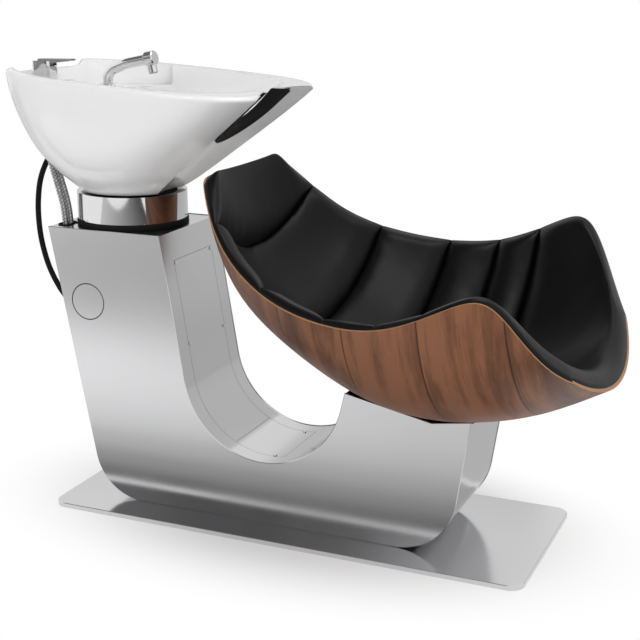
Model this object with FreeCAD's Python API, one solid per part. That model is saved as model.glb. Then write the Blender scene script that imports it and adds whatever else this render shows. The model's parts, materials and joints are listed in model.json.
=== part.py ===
import FreeCAD
import Part
import math
import os
from FreeCAD import Vector

# Shampoo bed: ceramic basin on a bent sheet-steel pedestal, with a moulded plywood lounge seat.
# Frame: X runs from the basin to the foot end, +Z up, origin at the centre of the floor plate's underside.
# All sizes in millimetres.

# Floor plate
PLATE_LENGTH = 1040.0
PLATE_WIDTH = 400.0
PLATE_THICKNESS = 10.0
PLATE_CORNER = 30.0
SERVICE_HOLE = 150.0

# Pedestal outline, seen from the side
PEDESTAL_WIDTH = 250.0
PANEL_SHEET = 3.0
BAND_SHEET = 2.0
BAND_REVEAL = 1.0
COLUMN_HEIGHT = 600.0
COLUMN_BACK = -546.0
COLUMN_DEPTH = 268.0
BACK_LEAN = 0.19
FRONT_LEAN = 0.167
HEEL_RADIUS = 112.0
TOE_RADIUS = 130.0
TOE_LEAN = 0.145
NOSE_X = 391.0
NOSE_HEIGHT = 294.0
VALLEY_X = 312.0
VALLEY_HEIGHT = 282.0
BLOCK_REAR_X = 131.0
BLOCK_REAR_HEIGHT = 319.0
THROAT_EDGE = 38.0
THROAT_LEAN = 0.237

# Covers on the pedestal
COVER_WIDTH = 164.0
COVER_BELOW_TOP = 58.0
COVER_JOINT_X = -131.0
COVER_END_X = -20.0
COVER_GAP = 0.8
COVER_LEDGE = 12.0
COVER_SCREW = 4.0
BLANK_DIAMETER = 80.0
BLANK_FLANGE = 6.0
BLANK_X = -455.0
BLANK_HEIGHT = 445.0

# Inner frame
TUBE = 40.0
TUBE_WALL = 3.0
RAIL_SPREAD = 150.0
RAIL_INSET = 3.9
RAIL_FRONT_X = 215.0
HEAD_PLATE = 8.0
RIB_SHEET = 8.0
RIB_REAR_X = 150.0
RIB_FRONT_X = 206.0
FRAME_SCREW = 8.0

# Collar and tilt bracket under the basin
SEAL_HEIGHT = 13.0
SEAL_WALL = 6.0
COLLAR_RADIUS = 117.0
COLLAR_WALL = 2.5
COLLAR_HEIGHT = 57.0
PIVOT_RISE = 32.0
PIN_DIAMETER = 16.0
LUG_SPAN = 108.0
LUG_SHEET = 8.0
WASHER_SHEET = 1.5
TILT_PLATE = 8.0
TILT_PLATE_RADIUS = 96.0
GASKET_SHEET = 3.0
RUNNING_CLEARANCE = 0.05
TOUCH_CLEARANCE = 0.3
CUT_REACH = 600.0

# Basin
BASIN_FOOT_RADIUS = 108.0
BASIN_HEIGHT = 238.0
BASIN_WALL = 13.0
RIM_SLOPE = -0.067
RIM_ROLL = 8.0
DECK_BELOW_RIM = 38.0
DECK_THICKNESS = 15.0
DECK_END = -70.0
DECK_FADE = 100.0
REAR_RIM_RISE = 2.0
REAR_STEP_X = -193.0
BOWL_FLOOR = 20.0
NOTCH_HALF_WIDTH = 50.0
NOTCH_BOTTOM = 106.0
NOTCH_REAR_X = 120.0
SCOOP_RADIUS = 360.0
SCOOP_DEPTH = 26.0
SCOOP_LOW_X = 160.0
SCOOP_LOW_RISE = 30.0
SCOOP_HIGH_X = 372.0
SCOOP_HIGH_DROP = 20.0
GASKET_THICK = 9.0
GASKET_LIP = 4.0
GASKET_FLANGE = 11.0
GASKET_BELOW_RIM = 21.0

# Hollow under the deck for the hoses: half width, then x from the column's axis and depth below the deck
POCKET_HALF_WIDTH = 105.0
POCKET = [(-205, 0), (-72, 0), (-72, 58), (-114, 122), (-124, 205), (-320, 205), (-320, 70), (-198, 60)]

# Drain
DRAIN_BORE = 46.0
DRAIN_TAIL = 42.0
DRAIN_FLANGE = 74.0
STRAINER_DIAMETER = 62.0
WASTE_DIAMETER = 50.0
WASTE_WALL = 3.0

# Mixer and hand spray on the basin's deck
MIXER_X = -165.0
MIXER_Y = -60.0
MIXER_LENGTH = 42.0
MIXER_WIDTH = 40.0
MIXER_HEIGHT = 54.0
MIXER_SHANK = 33.0
LEVER_LENGTH = 78.0
LEVER_WIDTH = 24.0
LEVER_SHEET = 7.0
LEVER_ROOT = 12.0
CAP_HEIGHT = 12.0
LEVER_PIN = 5.0
SPRAY_X = -88.0
SPRAY_Y = 60.0
SPRAY_TUBE = 22.0
SPRAY_HEAD = 32.0
SPRAY_RISE = 58.0
SPRAY_REACH = 97.0
HOLDER_FLANGE = 38.0
HOSE_DIAMETER = 12.0

# Seat
SHELL_SHEET = 7.0
PAD_CROWN = 46.0
PAD_CREASE = 15.0
PAD_EDGE = 15.0
PAD_GAP = 0.5
PAD_RIM_INSET = 3.0
SADDLE_SHEET = 6.0
SADDLE_WIDTH = 190.0
SADDLE_REAR_X = 150.0
SADDLE_FRONT_X = 372.0
SEAT_BOLT = 8.0
SHELL_CLEARANCE = 3.0
HEAD_CORNER = 90.0
LIP_CORNER = 150.0

# Seat stations from head to front lip, measured from the valley of the pedestal block:
# rim x, rim height, rim half width, keel x, keel height
SEAT_STATIONS = [
    (-475, 448, 146, -488, 442),
    (-406, 370, 238, -442, 262),
    (-332, 306, 290, -366, 152),
    (-223, 261, 343, -242, 70),
    (-93, 245, 382, -118, 11),
    (18, 263, 402, 4, -10),
    (113, 306, 408, 108, -1),
    (178, 313, 388, 198, 23),
    (233, 237, 340, 275, 58),
    (294, 153, 242, 333, 90),
]
CREASES = [0.0, 1.0, 2.6, 3.75, 4.65, 5.5, 9.0]
SEAT_STEP = 0.25
SEAT_POINTS = 8
PAD_NAMES = ["head_pad", "shoulder_pad", "lumbar_pad", "rear_seat_pad", "middle_seat_pad", "front_pad"]

# Places worked out from the sizes above
Z_AXIS = Vector(0, 0, 1)
X_AXIS = Vector(1, 0, 0)
Y_AXIS = Vector(0, 1, 0)
INSIDE_HALF = PEDESTAL_WIDTH / 2 - PANEL_SHEET
COLUMN_X = COLUMN_BACK + COLUMN_DEPTH / 2
LID_TOP = COLUMN_HEIGHT - BAND_REVEAL
LID_UNDER = LID_TOP - BAND_SHEET
COLLAR_FOOT = LID_TOP + SEAL_HEIGHT
COLLAR_TOP = COLLAR_FOOT + COLLAR_HEIGHT
TILT_PLATE_TOP = COLLAR_TOP
BASIN_FOOT = TILT_PLATE_TOP + GASKET_SHEET
PIVOT_Z = LID_TOP + PIVOT_RISE
RIM_Z = BASIN_FOOT + BASIN_HEIGHT
DECK_TOP = RIM_Z - DECK_BELOW_RIM
RAIL_TOP = PLATE_THICKNESS + TUBE
HEEL_X = COLUMN_BACK + BACK_LEAN * (COLUMN_HEIGHT - PLATE_THICKNESS)
RAIL_REAR_X = HEEL_X + HEEL_RADIUS + RAIL_INSET
COVER_TOP = COLUMN_HEIGHT - COVER_BELOW_TOP

os.makedirs("parts", exist_ok=True)


def save(name, shape):
    """Write one node and report its solids and volume."""
    print(name, len(shape.Solids), "solids", round(shape.Volume / 1000, 1), "cm3", shape.isValid())
    shape.exportStep("parts/" + name + ".step")


def box(x0, x1, y0, y1, z0, z1):
    """Block between two corners."""
    return Part.makeBox(x1 - x0, y1 - y0, z1 - z0, Vector(x0, y0, z0))


def rod(start, direction, diameter, length):
    """Round bar from a start point along a direction."""
    return Part.makeCylinder(diameter / 2, length, start, direction)


def tube(start, direction, outer, inner, length):
    """Round bar with a bore."""
    return rod(start, direction, outer, length).cut(rod(start, direction, inner, length))


def hexagon(start, direction, across_flats, length):
    """Hexagonal bar, for nuts and unions."""
    radius = across_flats / math.sqrt(3)
    corners = [Vector(radius * math.cos(i * math.pi / 3), radius * math.sin(i * math.pi / 3), 0) for i in range(7)]
    prism = Part.Face(Part.makePolygon(corners)).extrude(Vector(0, 0, length))
    prism.Placement = FreeCAD.Placement(start, FreeCAD.Rotation(Z_AXIS, direction))
    return prism


def revolved(profile, x, y):
    """Solid turned from (radius, z) points about the vertical line through x, y."""
    corners = [Vector(x + radius, y, z) for radius, z in profile]
    return Part.Face(Part.makePolygon(corners + corners[:1])).revolve(Vector(x, y, 0), Z_AXIS, 360)


def side_prism(points, y0, y1):
    """Solid with an (x, z) polygon as its side view."""
    corners = [Vector(x, y0, z) for x, z in points]
    return Part.Face(Part.makePolygon(corners + corners[:1])).extrude(Vector(0, y1 - y0, 0))


def group(shapes):
    """Several separate solids in one node."""
    return Part.makeCompound(shapes)


def largest(shape):
    """Main solid of a cut shape, without slivers."""
    return max(shape.Solids, key=lambda solid: solid.Volume)


# Rounded outlines

def round_corner(before, corner, after, radius):
    """Entry, middle and exit of the arc that rounds a corner."""
    back = (before - corner).normalize()
    ahead = (after - corner).normalize()
    half = back.getAngle(ahead) / 2
    bisector = (back + ahead).normalize()
    reach = radius / math.tan(half)
    middle = corner + bisector * (radius / math.sin(half) - radius)
    return corner + back * reach, middle, corner + ahead * reach


def rounded_path(points, radii, closed=False):
    """Straight runs and tangent arcs through the points, each corner with its own radius."""
    stops = []
    for i, (corner, radius) in enumerate(zip(points, radii)):
        if radius:
            stops.append(round_corner(points[i - 1], corner, points[(i + 1) % len(points)], radius))
        else:
            stops.append((corner, None, corner))
    edges = []
    for i, (entry, middle, leave) in enumerate(stops):
        if i or closed:
            edges.append(Part.LineSegment(stops[i - 1][2], entry).toShape())
        if middle:
            edges.append(Part.Arc(entry, middle, leave).toShape())
    return edges


def hose_path(points):
    """Runs and the largest tangent arcs that the hose's points allow, with the arcs' radii."""
    radii = [0]
    for before, corner, after in zip(points, points[1:], points[2:]):
        turn = (corner - before).getAngle(after - corner)
        run = min((corner - before).Length, (after - corner).Length)
        radii.append(0.45 * run / math.tan(turn / 2))
    radii.append(0)
    return Part.Wire(rounded_path(points, radii)), radii[1:-1]


def hose(name, points, diameter, bore=0):
    """Tube along a hose's points."""
    path, radii = hose_path(points)
    start = (points[1] - points[0]).normalize()
    solid = path.makePipeShell([Part.Wire(Part.makeCircle(diameter / 2, points[0], start))], True, False)
    if bore:
        core = path.makePipeShell([Part.Wire(Part.makeCircle(bore / 2, points[0], start))], True, False)
        solid = solid.cut(core)
    section = math.pi * (diameter ** 2 - bore ** 2) / 4
    print(name, "length", round(path.Length), "volume ratio", round(solid.Volume / (section * path.Length), 4),
          "radii", [round(radius) for radius in radii])
    return solid


# Pedestal: outline corners, side panels and bands

def meet(first, second):
    """Point where two lines, each a point and a direction in the side view, cross."""
    (p, d), (q, e) = first, second
    along = ((q.x - p.x) * e.z - (q.z - p.z) * e.x) / (d.x * e.z - d.z * e.x)
    return p + d * along


def pedestal_corners(inset):
    """Corners of the side outline with every side moved inwards; the throat's corner lies far below."""
    column_front = COLUMN_BACK + COLUMN_DEPTH
    heel = Vector(HEEL_X, 0, PLATE_THICKNESS)
    toe = Vector(NOSE_X - TOE_LEAN * (NOSE_HEIGHT - PLATE_THICKNESS), 0, PLATE_THICKNESS)
    block_rear = Vector(BLOCK_REAR_X, 0, BLOCK_REAR_HEIGHT)
    front_top = Vector(column_front, 0, COLUMN_HEIGHT)
    throat = meet((front_top, Vector(FRONT_LEAN, 0, -1)), (block_rear, Vector(-THROAT_LEAN, 0, -1)))
    plain = {
        "back_top": Vector(COLUMN_BACK, 0, COLUMN_HEIGHT),
        "heel": heel,
        "toe": toe,
        "nose": Vector(NOSE_X, 0, NOSE_HEIGHT),
        "valley": Vector(VALLEY_X, 0, VALLEY_HEIGHT),
        "block_rear": block_rear,
        "throat": throat,
        "front_top": front_top,
    }
    names = list(plain)
    sides = []
    for i, name in enumerate(names):
        run = (plain[names[(i + 1) % len(names)]] - plain[name]).normalize()
        inwards = Vector(-run.z, 0, run.x)
        sides.append((plain[name] + inwards * inset, run))
    moved = {name: meet(sides[i - 1], sides[i]) for i, name in enumerate(names)}
    moved["heel_end"] = Vector(heel.x + HEEL_RADIUS, 0, PLATE_THICKNESS + inset)
    moved["toe_end"] = Vector(toe.x - TOE_RADIUS, 0, PLATE_THICKNESS + inset)
    return moved


def throat_radius():
    """Radius of the U, so that its round starts a short straight edge below the block's rear corner."""
    corners = pedestal_corners(0)
    to_block = corners["block_rear"] - corners["throat"]
    to_column = corners["front_top"] - corners["throat"]
    return (to_block.Length - THROAT_EDGE) * math.tan(to_block.getAngle(to_column) / 2)


def pedestal_path(names, inset, closed=False):
    """Edges of the outline through the named corners."""
    corners = pedestal_corners(inset)
    radius = {"heel": HEEL_RADIUS - inset, "toe": TOE_RADIUS - inset, "throat": throat_radius() + inset}
    return rounded_path([corners[name] for name in names], [radius.get(name, 0) for name in names], closed)


OUTLINE = ["back_top", "heel", "toe", "nose", "valley", "block_rear", "throat", "front_top"]


def side_panel(side):
    """Flat side of the pedestal, with a small break on its outer edge."""
    face = Part.Face(Part.Wire(pedestal_path(OUTLINE, 0, True)))
    panel = face.extrude(Vector(0, side * PANEL_SHEET, 0))
    panel.translate(Vector(0, side * INSIDE_HALF, 0))
    outer = [edge for edge in panel.Edges if abs(abs(edge.CenterOfMass.y) - PEDESTAL_WIDTH / 2) < 0.01]
    return panel.makeChamfer(PANEL_SHEET / 3, outer)


def band(names, inset, sheet, half_width):
    """Bent sheet that follows the outline between the side panels."""
    outside = pedestal_path(names, inset)
    inside = pedestal_path(names, inset + sheet)
    first, last = pedestal_corners(inset), pedestal_corners(inset + sheet)
    ends = [Part.LineSegment(first[names[i]], last[names[i]]).toShape() for i in (0, -1)]
    wire = Part.Wire(Part.sortEdges(outside + inside + ends)[0])
    strip = Part.Face(wire).extrude(Vector(0, 2 * half_width, 0))
    strip.translate(Vector(0, -half_width, 0))
    return strip


THROAT_RUN = ["block_rear", "throat", "front_top"]


def cover_zone(top, joint_x, half_width):
    """Region of the inner band that a cover takes up: from a height on the column to a place along the throat."""
    far = PEDESTAL_WIDTH * 2
    column = box(COLUMN_BACK, joint_x, -half_width, half_width, PLATE_THICKNESS, top)
    return column.common(box(-far, far, -half_width, half_width, PLATE_THICKNESS, COLUMN_HEIGHT))


def cover_screw_places():
    """Points and outward directions of the cover screws, on the band's outer face."""
    reach = COVER_WIDTH / 2 - COVER_LEDGE / 2
    corners = pedestal_corners(BAND_REVEAL)
    run = (corners["front_top"] - corners["throat"]).normalize()
    outward = Vector(-run.z, 0, run.x) * -1
    places = []
    for height in (COVER_TOP - COVER_LEDGE / 2, (COVER_TOP + VALLEY_HEIGHT) / 2 - COVER_LEDGE * 4):
        spot = corners["throat"] + run * ((height - corners["throat"].z) / run.z)
        for side in (-1, 1):
            places.append((spot + Y_AXIS * side * reach, outward))
    low = pedestal_path(THROAT_RUN, BAND_REVEAL)[1].Curve
    centre = low.Center
    foot = Vector(COVER_END_X - COVER_LEDGE * 2, 0, 0)
    radius = low.Radius
    drop = math.sqrt(radius ** 2 - (foot.x - centre.x) ** 2)
    spot = Vector(foot.x, 0, centre.z - drop)
    for side in (-1, 1):
        places.append((spot + Y_AXIS * side * reach, (centre - spot).normalize()))
    return places


def drilled(shape, places, diameter, depth):
    """Shape with a hole at each screw place, through its whole sheet."""
    for spot, outward in places:
        shape = shape.cut(rod(spot + outward * depth, outward * -1, diameter, 2 * depth))
    return shape


def pedestal(belly):
    """Panels, bands, covers and their screws; belly is the room that the seat shell needs."""
    blank_hole = rod(Vector(BLANK_X, -PEDESTAL_WIDTH, BLANK_HEIGHT), Y_AXIS, BLANK_DIAMETER, PEDESTAL_WIDTH)
    save("near_side_panel", side_panel(-1).cut(blank_hole))
    save("far_side_panel", side_panel(1))

    disc = BLANK_DIAMETER - 2 * TOUCH_CLEARANCE
    flange = BLANK_DIAMETER + 2 * BLANK_FLANGE
    face = rod(Vector(BLANK_X, -PEDESTAL_WIDTH / 2, BLANK_HEIGHT), Y_AXIS, disc, PANEL_SHEET)
    back = rod(Vector(BLANK_X, -INSIDE_HALF, BLANK_HEIGHT), Y_AXIS, flange, BAND_SHEET)
    face = face.makeChamfer(PANEL_SHEET / 4, face.Edges[2:3])
    save("blank_cover", face.fuse(back).removeSplitter())

    spray_port = rod(SPRAY_ENTRY, SPRAY_ENTRY_RUN, HOSE_DIAMETER + 8, 4 * HOSE_DIAMETER)
    spray_port.translate(SPRAY_ENTRY_RUN * -2 * HOSE_DIAMETER)
    save("back_band", band(["back_top", "heel", "heel_end"], BAND_REVEAL, BAND_SHEET, INSIDE_HALF).cut(spray_port))
    save("nose_band", band(["toe_end", "toe", "nose"], BAND_REVEAL, BAND_SHEET, INSIDE_HALF).cut(belly))

    places = cover_screw_places()
    inner = band(THROAT_RUN, BAND_REVEAL, BAND_SHEET, INSIDE_HALF).cut(belly)
    opening = cover_zone(COVER_TOP, COVER_END_X, COVER_WIDTH / 2)
    save("inner_band", inner.cut(opening))
    behind = band(THROAT_RUN, BAND_REVEAL + BAND_SHEET, BAND_SHEET, INSIDE_HALF - COVER_LEDGE)
    ledge = behind.common(cover_zone(COVER_TOP + COVER_LEDGE, COVER_END_X + COVER_LEDGE, COVER_WIDTH / 2 + COVER_LEDGE))
    access = cover_zone(COVER_TOP - COVER_LEDGE, COVER_END_X - COVER_LEDGE * 3, COVER_WIDTH / 2 - COVER_LEDGE)
    save("cover_frame", drilled(ledge.cut(access), places, COVER_SCREW, PANEL_SHEET * 2))

    sheet = band(THROAT_RUN, BAND_REVEAL, BAND_SHEET, INSIDE_HALF)
    half = COVER_WIDTH / 2 - COVER_GAP
    both = sheet.common(cover_zone(COVER_TOP - COVER_GAP, COVER_END_X - COVER_GAP, half))
    both = drilled(both, places, COVER_SCREW, PANEL_SHEET * 2)
    joint = box(COLUMN_BACK, COVER_JOINT_X - COVER_GAP, -half, half, PLATE_THICKNESS, COLUMN_HEIGHT)
    beyond = box(COVER_JOINT_X, COVER_END_X, -half, half, PLATE_THICKNESS, COLUMN_HEIGHT)
    save("upper_access_cover", both.common(joint))
    save("lower_access_cover", both.common(beyond))
    screws = []
    for spot, outward in places:
        shank = rod(spot + outward, outward * -1, COVER_SCREW - 2 * RUNNING_CLEARANCE, 3 * BAND_SHEET)
        seat_point = spot + outward * 2 * RUNNING_CLEARANCE
        head = Part.makeCone(COVER_SCREW, COVER_SCREW * 0.7, COVER_SCREW / 2, seat_point, outward)
        screws.append(head.fuse(shank))
    save("cover_screws", group(screws))


def column_lid():
    """Top of the column: open inside the collar, with an oval port for the supply hoses."""
    lid = band(["front_top", "back_top"], BAND_REVEAL, BAND_SHEET, INSIDE_HALF)
    lid = lid.cut(rod(Vector(COLUMN_X, 0, LID_UNDER - 1), Z_AXIS, 2 * LID_BORE, SEAL_HEIGHT))
    save("column_lid", lid.cut(hose_port(GROMMET_HALF_WIDTH + TOUCH_CLEARANCE, LID_UNDER - 1, LID_TOP + 1)))
    neck = hose_port(GROMMET_HALF_WIDTH, LID_UNDER - 2 * BAND_SHEET, LID_TOP)
    brim = hose_port(GROMMET_HALF_WIDTH + BAND_SHEET, LID_TOP, LID_TOP + BAND_SHEET)
    bore = hose_port(GROMMET_HALF_WIDTH - BAND_SHEET, LID_UNDER - 3 * BAND_SHEET, LID_TOP + 2 * BAND_SHEET)
    save("hose_grommet", brim.fuse(neck).cut(bore).removeSplitter())


def hose_port(half_width, z0, z1):
    """Oval prism round the two supply hoses, along Y."""
    near = Vector(PORT_X, PORT_Y - PORT_HALF_LENGTH, z0)
    straight = box(PORT_X - half_width, PORT_X + half_width, near.y, PORT_Y + PORT_HALF_LENGTH, z0, z1)
    ends = [rod(near + Y_AXIS * 2 * PORT_HALF_LENGTH * i, Z_AXIS, 2 * half_width, z1 - z0) for i in (0, 1)]
    return straight.fuse(ends).removeSplitter()


# Floor plate and inner frame

def frame_screw_places():
    """Where the rails are screwed to the floor plate."""
    middle = (RAIL_REAR_X + RAIL_FRONT_X) / 2
    xs = (RAIL_REAR_X + TUBE, middle, RAIL_FRONT_X - TUBE)
    return [Vector(x, side * RAIL_SPREAD / 2, 0) for x in xs for side in (-1, 1)]


def floor_plate():
    """Plate with rounded corners, a service hole under the column and countersunk holes for the frame."""
    half_length, half_width = PLATE_LENGTH / 2, PLATE_WIDTH / 2
    plate = box(-half_length, half_length, -half_width, half_width, 0, PLATE_THICKNESS)
    upright = [edge for edge in plate.Edges if abs(edge.Vertexes[0].Z - edge.Vertexes[-1].Z) > 1]
    plate = plate.makeFillet(PLATE_CORNER, upright)
    top = [edge for edge in plate.Edges if edge.BoundBox.ZMin > PLATE_THICKNESS - 0.01]
    plate = plate.makeChamfer(PANEL_SHEET / 3, top)
    plate = plate.cut(rod(Vector(WASTE_X, 0, 0), Z_AXIS, SERVICE_HOLE, PLATE_THICKNESS))
    screws = []
    for spot in frame_screw_places():
        hole = Part.makeCone(FRAME_SCREW, FRAME_SCREW / 2, FRAME_SCREW / 2, spot, Z_AXIS)
        plate = plate.cut(hole).cut(rod(spot, Z_AXIS, FRAME_SCREW, PLATE_THICKNESS))
        head = Part.makeCone(FRAME_SCREW - RUNNING_CLEARANCE, FRAME_SCREW / 2 - RUNNING_CLEARANCE, FRAME_SCREW / 2, spot)
        shank = rod(spot, Z_AXIS, FRAME_SCREW - 2 * RUNNING_CLEARANCE, PLATE_THICKNESS + 3 * TUBE_WALL)
        screws.append(head.fuse(shank))
    save("base_plate", plate)
    save("frame_screws", group(screws))


def square_tube(x0, x1, y, z0, z1, shift=0):
    """Upright or lying square tube; shift leans its top along X."""
    outer = [(x0, z0), (x1, z0), (x1 + shift, z1), (x0 + shift, z1)]
    inner = [(x0 + TUBE_WALL, z0), (x1 - TUBE_WALL, z0), (x1 - TUBE_WALL + shift, z1), (x0 + TUBE_WALL + shift, z1)]
    half = TUBE / 2
    return side_prism(outer, y - half, y + half).cut(side_prism(inner, y - half + TUBE_WALL, y + half - TUBE_WALL))


def inner_frame(saddle_room):
    """Welded frame: two rails, cross tubes, leaning posts with a head plate, and ribs under the seat."""
    pieces = []
    half = TUBE / 2
    post_shift = COLUMN_X - RAIL_REAR_X - half - TUBE
    for side in (-1, 1):
        y = side * RAIL_SPREAD / 2
        rail = box(RAIL_REAR_X, RAIL_FRONT_X, y - half, y + half, PLATE_THICKNESS, RAIL_TOP)
        hollow = box(RAIL_REAR_X, RAIL_FRONT_X, y - half + TUBE_WALL, y + half - TUBE_WALL,
                     PLATE_THICKNESS + TUBE_WALL, RAIL_TOP - TUBE_WALL)
        pieces.append(rail.cut(hollow))
        pieces.append(square_tube(RAIL_REAR_X, RAIL_REAR_X + TUBE, y, RAIL_TOP, LID_UNDER - HEAD_PLATE, post_shift))
    reach = RAIL_SPREAD / 2 - half
    for x in (RAIL_REAR_X + half, RAIL_FRONT_X - TUBE):
        cross = box(x, x + TUBE, -reach, reach, PLATE_THICKNESS, RAIL_TOP)
        pieces.append(cross.cut(box(x + TUBE_WALL, x + TUBE - TUBE_WALL, -reach, reach,
                                    PLATE_THICKNESS + TUBE_WALL, RAIL_TOP - TUBE_WALL)))
    width = RAIL_SPREAD / 2 + half
    for x in (RIB_REAR_X, RIB_FRONT_X):
        pieces.append(box(x, x + RIB_SHEET, -width, width, RAIL_TOP, BLOCK_REAR_HEIGHT + TUBE).cut(saddle_room))
    head_half = TILT_PLATE_RADIUS
    head = box(COLUMN_X - head_half, COLUMN_X + head_half, -width, width, LID_UNDER - HEAD_PLATE, LID_UNDER)
    waste_bore = rod(Vector(COLUMN_X, 0, LID_UNDER - 2 * HEAD_PLATE), Z_AXIS, WASTE_DIAMETER * 1.4, 3 * HEAD_PLATE)
    pieces.append(head.cut(waste_bore))
    frame = pieces[0].fuse(pieces[1:]).removeSplitter()
    for spot in frame_screw_places():
        frame = frame.cut(rod(spot, Z_AXIS, FRAME_SCREW, RAIL_TOP - TUBE_WALL))
    for spot in tilt_bolt_places():
        frame = frame.cut(rod(spot - Z_AXIS * 2 * HEAD_PLATE, Z_AXIS, SEAT_BOLT, 3 * HEAD_PLATE))
    save("inner_frame", frame)


# Seat shell and upholstery

def guide_curves():
    """Rim and keel of the seat as smooth curves with one station per unit of their parameter."""
    rim_points = [Vector(VALLEY_X + s[0], s[2], VALLEY_HEIGHT + s[1]) for s in SEAT_STATIONS]
    keel_points = [Vector(VALLEY_X + s[3], 0, VALLEY_HEIGHT + s[4]) for s in SEAT_STATIONS]
    places = [float(i) for i in range(len(SEAT_STATIONS))]
    curves = []
    for points in (rim_points, keel_points):
        curve = Part.BSplineCurve()
        curve.interpolate(Points=points, Parameters=places)
        curves.append(curve)
    return curves


RIM, KEEL = guide_curves()


class SeatSection:
    """Arc across the seat from rim to rim through the keel, in the plane that holds both."""

    def __init__(self, u):
        rim, keel = RIM.value(u), KEEL.value(u)
        self.keel = keel
        self.up = Vector(rim.x - keel.x, 0, rim.z - keel.z)
        height = self.up.Length
        self.up.normalize()
        self.radius = (rim.y ** 2 + height ** 2) / (2 * height)
        self.span = math.atan2(rim.y, self.radius - height)

    def point(self, angle, inwards):
        """Point at an angle from the keel, moved towards the arc's centre."""
        centre = self.keel + self.up * self.radius
        reach = self.radius - inwards
        return centre + Y_AXIS * (reach * math.sin(angle)) - self.up * (reach * math.cos(angle))

    def arcs(self, span, inwards, keel_inwards):
        """Arc from rim to rim with its own depth at the keel, as two halves that meet there."""
        near, keel, far = self.point(-span, inwards), self.point(0, keel_inwards), self.point(span, inwards)
        whole = Part.Arc(near, keel, far)
        quarter = (whole.LastParameter - whole.FirstParameter) / 4
        first = Part.Arc(near, whole.value(whole.FirstParameter + quarter), keel)
        second = Part.Arc(keel, whole.value(whole.LastParameter - quarter), far)
        return [first.toShape(), second.toShape()]

    def row(self, inwards):
        """Points from rim to rim at one depth."""
        return [self.point(self.span * i / SEAT_POINTS, inwards) for i in range(-SEAT_POINTS, SEAT_POINTS + 1)]

    def strip(self, span, lower, lower_keel, upper, upper_keel):
        """Closed outline between two such arcs."""
        below = self.arcs(span, lower, lower_keel)
        above = self.arcs(span, upper, upper_keel)
        sides = [Part.LineSegment(self.point(s, lower), self.point(s, upper)).toShape() for s in (-span, span)]
        return Part.Wire([below[0], below[1], sides[1], above[1], above[0], sides[0]])


def seat_sheet(first, last, lower, upper):
    """Sheet that follows the seat between two stations, from one depth to another."""
    skins = []
    for inwards in (lower, upper):
        sections = [SeatSection(u) for u in seat_steps(first, last)]
        skin = Part.BSplineSurface()
        skin.interpolate([section.row(inwards) for section in sections])
        skins.append(skin.toShape())
    edges = [Part.makeRuledSurface(below, above) for below, above in zip(skins[0].Edges, skins[1].Edges)]
    sheet = Part.makeShell(skins + edges)
    sheet.sewShape()
    solid = Part.Solid(sheet)
    if solid.Volume < 0:
        solid.reverse()
    return solid


def seat_steps(first, last):
    """Places along the seat, close enough that lofts through them agree with each other."""
    count = math.ceil((last - first) / SEAT_STEP)
    return [first + (last - first) * i / count for i in range(count + 1)]


def seat_belly(clearance):
    """Room that the shell takes up, with clearance below and everything above."""
    wires = []
    for u in seat_steps(0, CREASES[-1]):
        section = SeatSection(u)
        near, far = section.point(-section.span, -clearance), section.point(section.span, -clearance)
        lid = Part.LineSegment(far, near).toShape()
        wires.append(Part.Wire(section.arcs(section.span, -clearance, -clearance) + [lid]))
    return smooth_solid(wires)


def pad(first, last):
    """One upholstered channel: thin at its creases, crowned between them, drawn in at the rim."""
    back = SHELL_SHEET + TOUCH_CLEARANCE
    gap = PAD_GAP / (2 * (KEEL.value(last) - KEEL.value(first)).Length) * (last - first)
    wires = []
    for u in seat_steps(first + gap, last - gap):
        section = SeatSection(u)
        swell = 1 - abs((2 * u - first - last) / (last - first - 2 * gap)) ** 2.6
        span = section.span - PAD_RIM_INSET / section.radius
        keel = back + PAD_CREASE + (PAD_CROWN - PAD_CREASE) * swell
        edge = back + PAD_EDGE * (0.7 + 0.3 * swell)
        wires.append(section.strip(span, back, back, edge, keel))
    return smooth_solid(wires)


def corner_cutter(u, inner, side, radius):
    """What lies outside a rounded corner of the seat, square to the shell there."""
    section, beyond = SeatSection(u), SeatSection(inner)
    corner = section.point(side * section.span, 0)
    across = (section.point(side * section.span * 0.75, 0) - corner).normalize()
    along = (beyond.point(side * beyond.span, 0) - corner).normalize()
    half = across.getAngle(along) / 2
    reach = radius / math.tan(half)
    bisector = (across + along).normalize()
    normal = across.cross(along).normalize()
    first, last = corner + across * reach, corner + along * reach
    ends = [first, last, last - bisector * radius, first - bisector * radius, first]
    low = normal * 2 * PAD_CROWN
    wedge = Part.Face(Part.makePolygon([end - low for end in ends])).extrude(low * 2)
    centre = corner + bisector * radius / math.sin(half)
    return wedge.cut(rod(centre - low, normal, 2 * radius, 4 * PAD_CROWN))


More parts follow.
